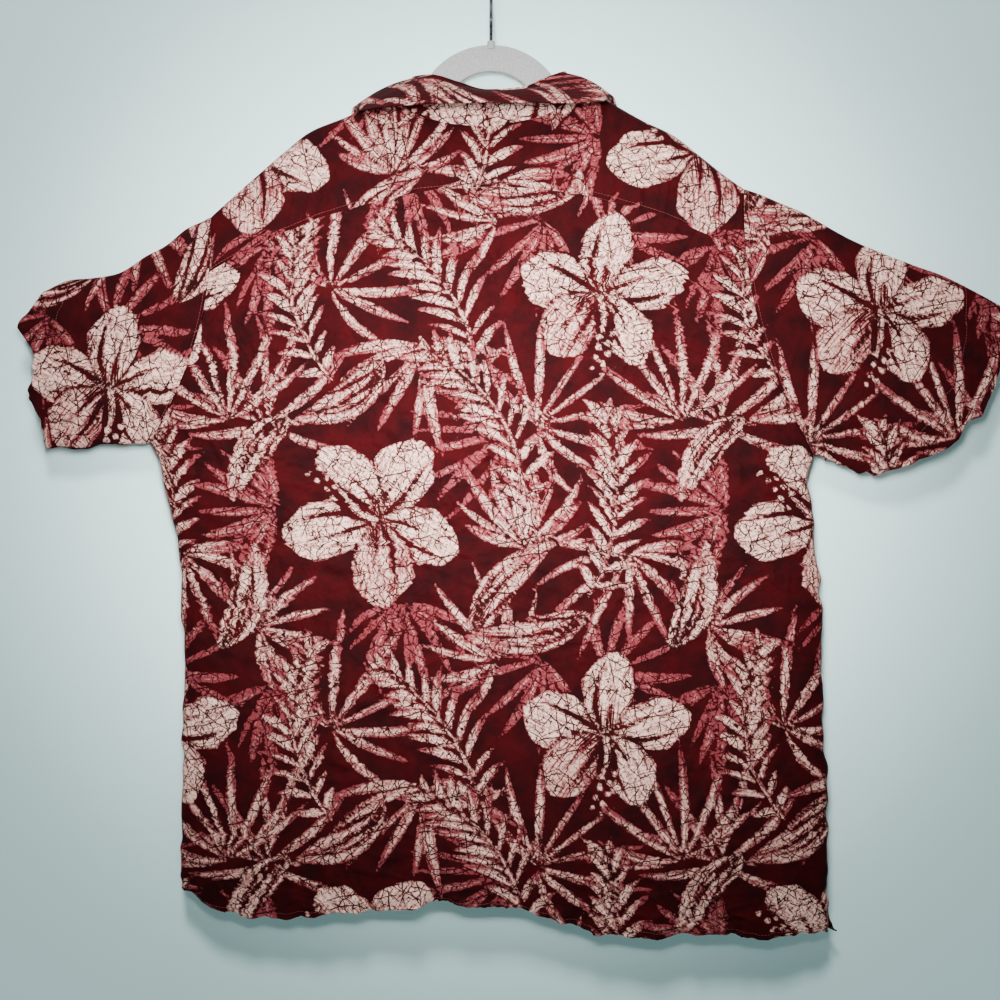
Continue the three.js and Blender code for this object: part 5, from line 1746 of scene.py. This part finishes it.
WALL_Y = 0.0255
FLOOR_Z = -1.9
BOARD_SIZE = 6.0
SHIRT_MIDDLE = (0, 0, -0.53)
# Each lamp's name, place, size, power, aim and spread in degrees. Two lamps light the hidden front.
LAMPS = (
    ("key_light", (-0.2, -1.75, 1.4), 0.5, 66, SHIRT_MIDDLE, 180),
    ("near_light", (-0.03, -1.15, -0.3), 0.3, 5.4, (0, 0, -0.43), 50),
    ("top_light", (0.4, -0.6, 1.6), 0.7, 5, SHIRT_MIDDLE, 180),
    ("front_key", (1.1, 2.3, 0.8), 1.8, 62, SHIRT_MIDDLE, 180),
    ("front_fill", (-1.2, 2.2, -0.3), 1.8, 34, SHIRT_MIDDLE, 180),
)
ROOM_COLOUR = "#DCE2E4"
ROOM_STRENGTH = 0.11
# The photograph's frame is 1 m wide at the shirt's back, round this middle
FRAME_WIDTH = 1.0
FRAME_X = 0.009
FRAME_Z = -0.534
SENSOR_WIDTH = 36


class SHIRT_OT_stage(SHIRT_OT_base, bpy.types.Operator):
    """Makes the pale wall and floor, the lights and the camera"""

    bl_idname = "shirt.stage"
    bl_label = "Stage"

    def execute(self, context):
        self.board("backdrop_wall", (0, WALL_Y, -0.5), (math.pi / 2, 0, 0), one_sided=True)
        self.board("studio_floor", (0, 0, FLOOR_Z), (0, 0, 0))
        for lamp in LAMPS:
            self.lamp(*lamp)
        world = bpy.data.worlds.new("soft_room")
        world.use_nodes = True
        background = world.node_tree.nodes["Background"]
        background.inputs["Color"].default_value = linear(ROOM_COLOUR)
        background.inputs["Strength"].default_value = ROOM_STRENGTH
        context.scene.world = world
        self.camera(context)
        return {"FINISHED"}

    def board(self, name, spot, turn, one_sided=False):
        """A plain board. A one-sided one keeps no light from the side where it is clear."""
        start_clean()
        bpy.ops.mesh.primitive_plane_add(size=BOARD_SIZE, location=spot, rotation=turn)
        made = bpy.context.object
        made.name = name
        made.data.materials.append(plain_board("matt_" + name, one_sided))
        if one_sided:
            made.visible_shadow = False
            made.visible_diffuse = False

    def lamp(self, name, spot, size, power, aim, spread):
        """A soft square lamp, turned to its aim."""
        data = bpy.data.lights.new(name, "AREA")
        data.size = size
        data.energy = power
        data.spread = math.radians(spread)
        made = bpy.data.objects.new(name, data)
        made.location = spot
        made.rotation_euler = (Vector(aim) - Vector(spot)).to_track_quat("-Z", "Y").to_euler()
        bpy.context.scene.collection.objects.link(made)

    def camera(self, context):
        """The camera, square to the shirt's back as in the photograph."""
        data = bpy.data.cameras.new("photo_camera")
        camera = bpy.data.objects.new("photo_camera", data)
        distance = context.scene.shirt_sizes.camera_distance
        camera.location = (FRAME_X, -distance, FRAME_Z)
        camera.rotation_euler = (math.pi / 2, 0, 0)
        data.sensor_width = SENSOR_WIDTH
        data.lens = SENSOR_WIDTH * distance / FRAME_WIDTH
        data.clip_end = 50
        context.scene.collection.objects.link(camera)
        context.scene.camera = camera


class SHIRT_PT_panel(bpy.types.Panel):
    """The shirt's settings and steps"""

    bl_idname = "SHIRT_PT_panel"
    bl_label = "Hawaiian shirt"
    bl_space_type = "VIEW_3D"
    bl_region_type = "UI"
    bl_category = "Shirt"

    def draw(self, context):
        for group in (context.scene.shirt_sizes, context.scene.shirt_colours):
            box = self.layout.box()
            for name in group.__annotations__:
                box.prop(group, name)
        for step in STEPS:
            self.layout.operator(step.bl_idname)


STEPS = (
    SHIRT_OT_back,
    SHIRT_OT_yoke,
    SHIRT_OT_fronts,
    SHIRT_OT_sleeves,
    SHIRT_OT_collar,
    SHIRT_OT_overlays,
    SHIRT_OT_buttons,
    SHIRT_OT_hook,
    SHIRT_OT_hanger,
    SHIRT_OT_stage,
)
CLASSES = (ShirtSizes, ShirtColours, *STEPS, SHIRT_PT_panel)


def register():
    for item in CLASSES:
        bpy.utils.register_class(item)
    bpy.types.Scene.shirt_sizes = bpy.props.PointerProperty(type=ShirtSizes)
    bpy.types.Scene.shirt_colours = bpy.props.PointerProperty(type=ShirtColours)


def unregister():
    del bpy.types.Scene.shirt_colours
    del bpy.types.Scene.shirt_sizes
    for item in reversed(CLASSES):
        bpy.utils.unregister_class(item)


def main():
    register()
    bpy.ops.shirt.back()
    bpy.ops.shirt.yoke()
    bpy.ops.shirt.fronts()
    bpy.ops.shirt.sleeves()
    bpy.ops.shirt.collar()
    bpy.ops.shirt.overlays()
    bpy.ops.shirt.buttons()
    bpy.ops.shirt.hook()
    bpy.ops.shirt.hanger()
    bpy.ops.shirt.stage()


if __name__ == "__main__":
    main()
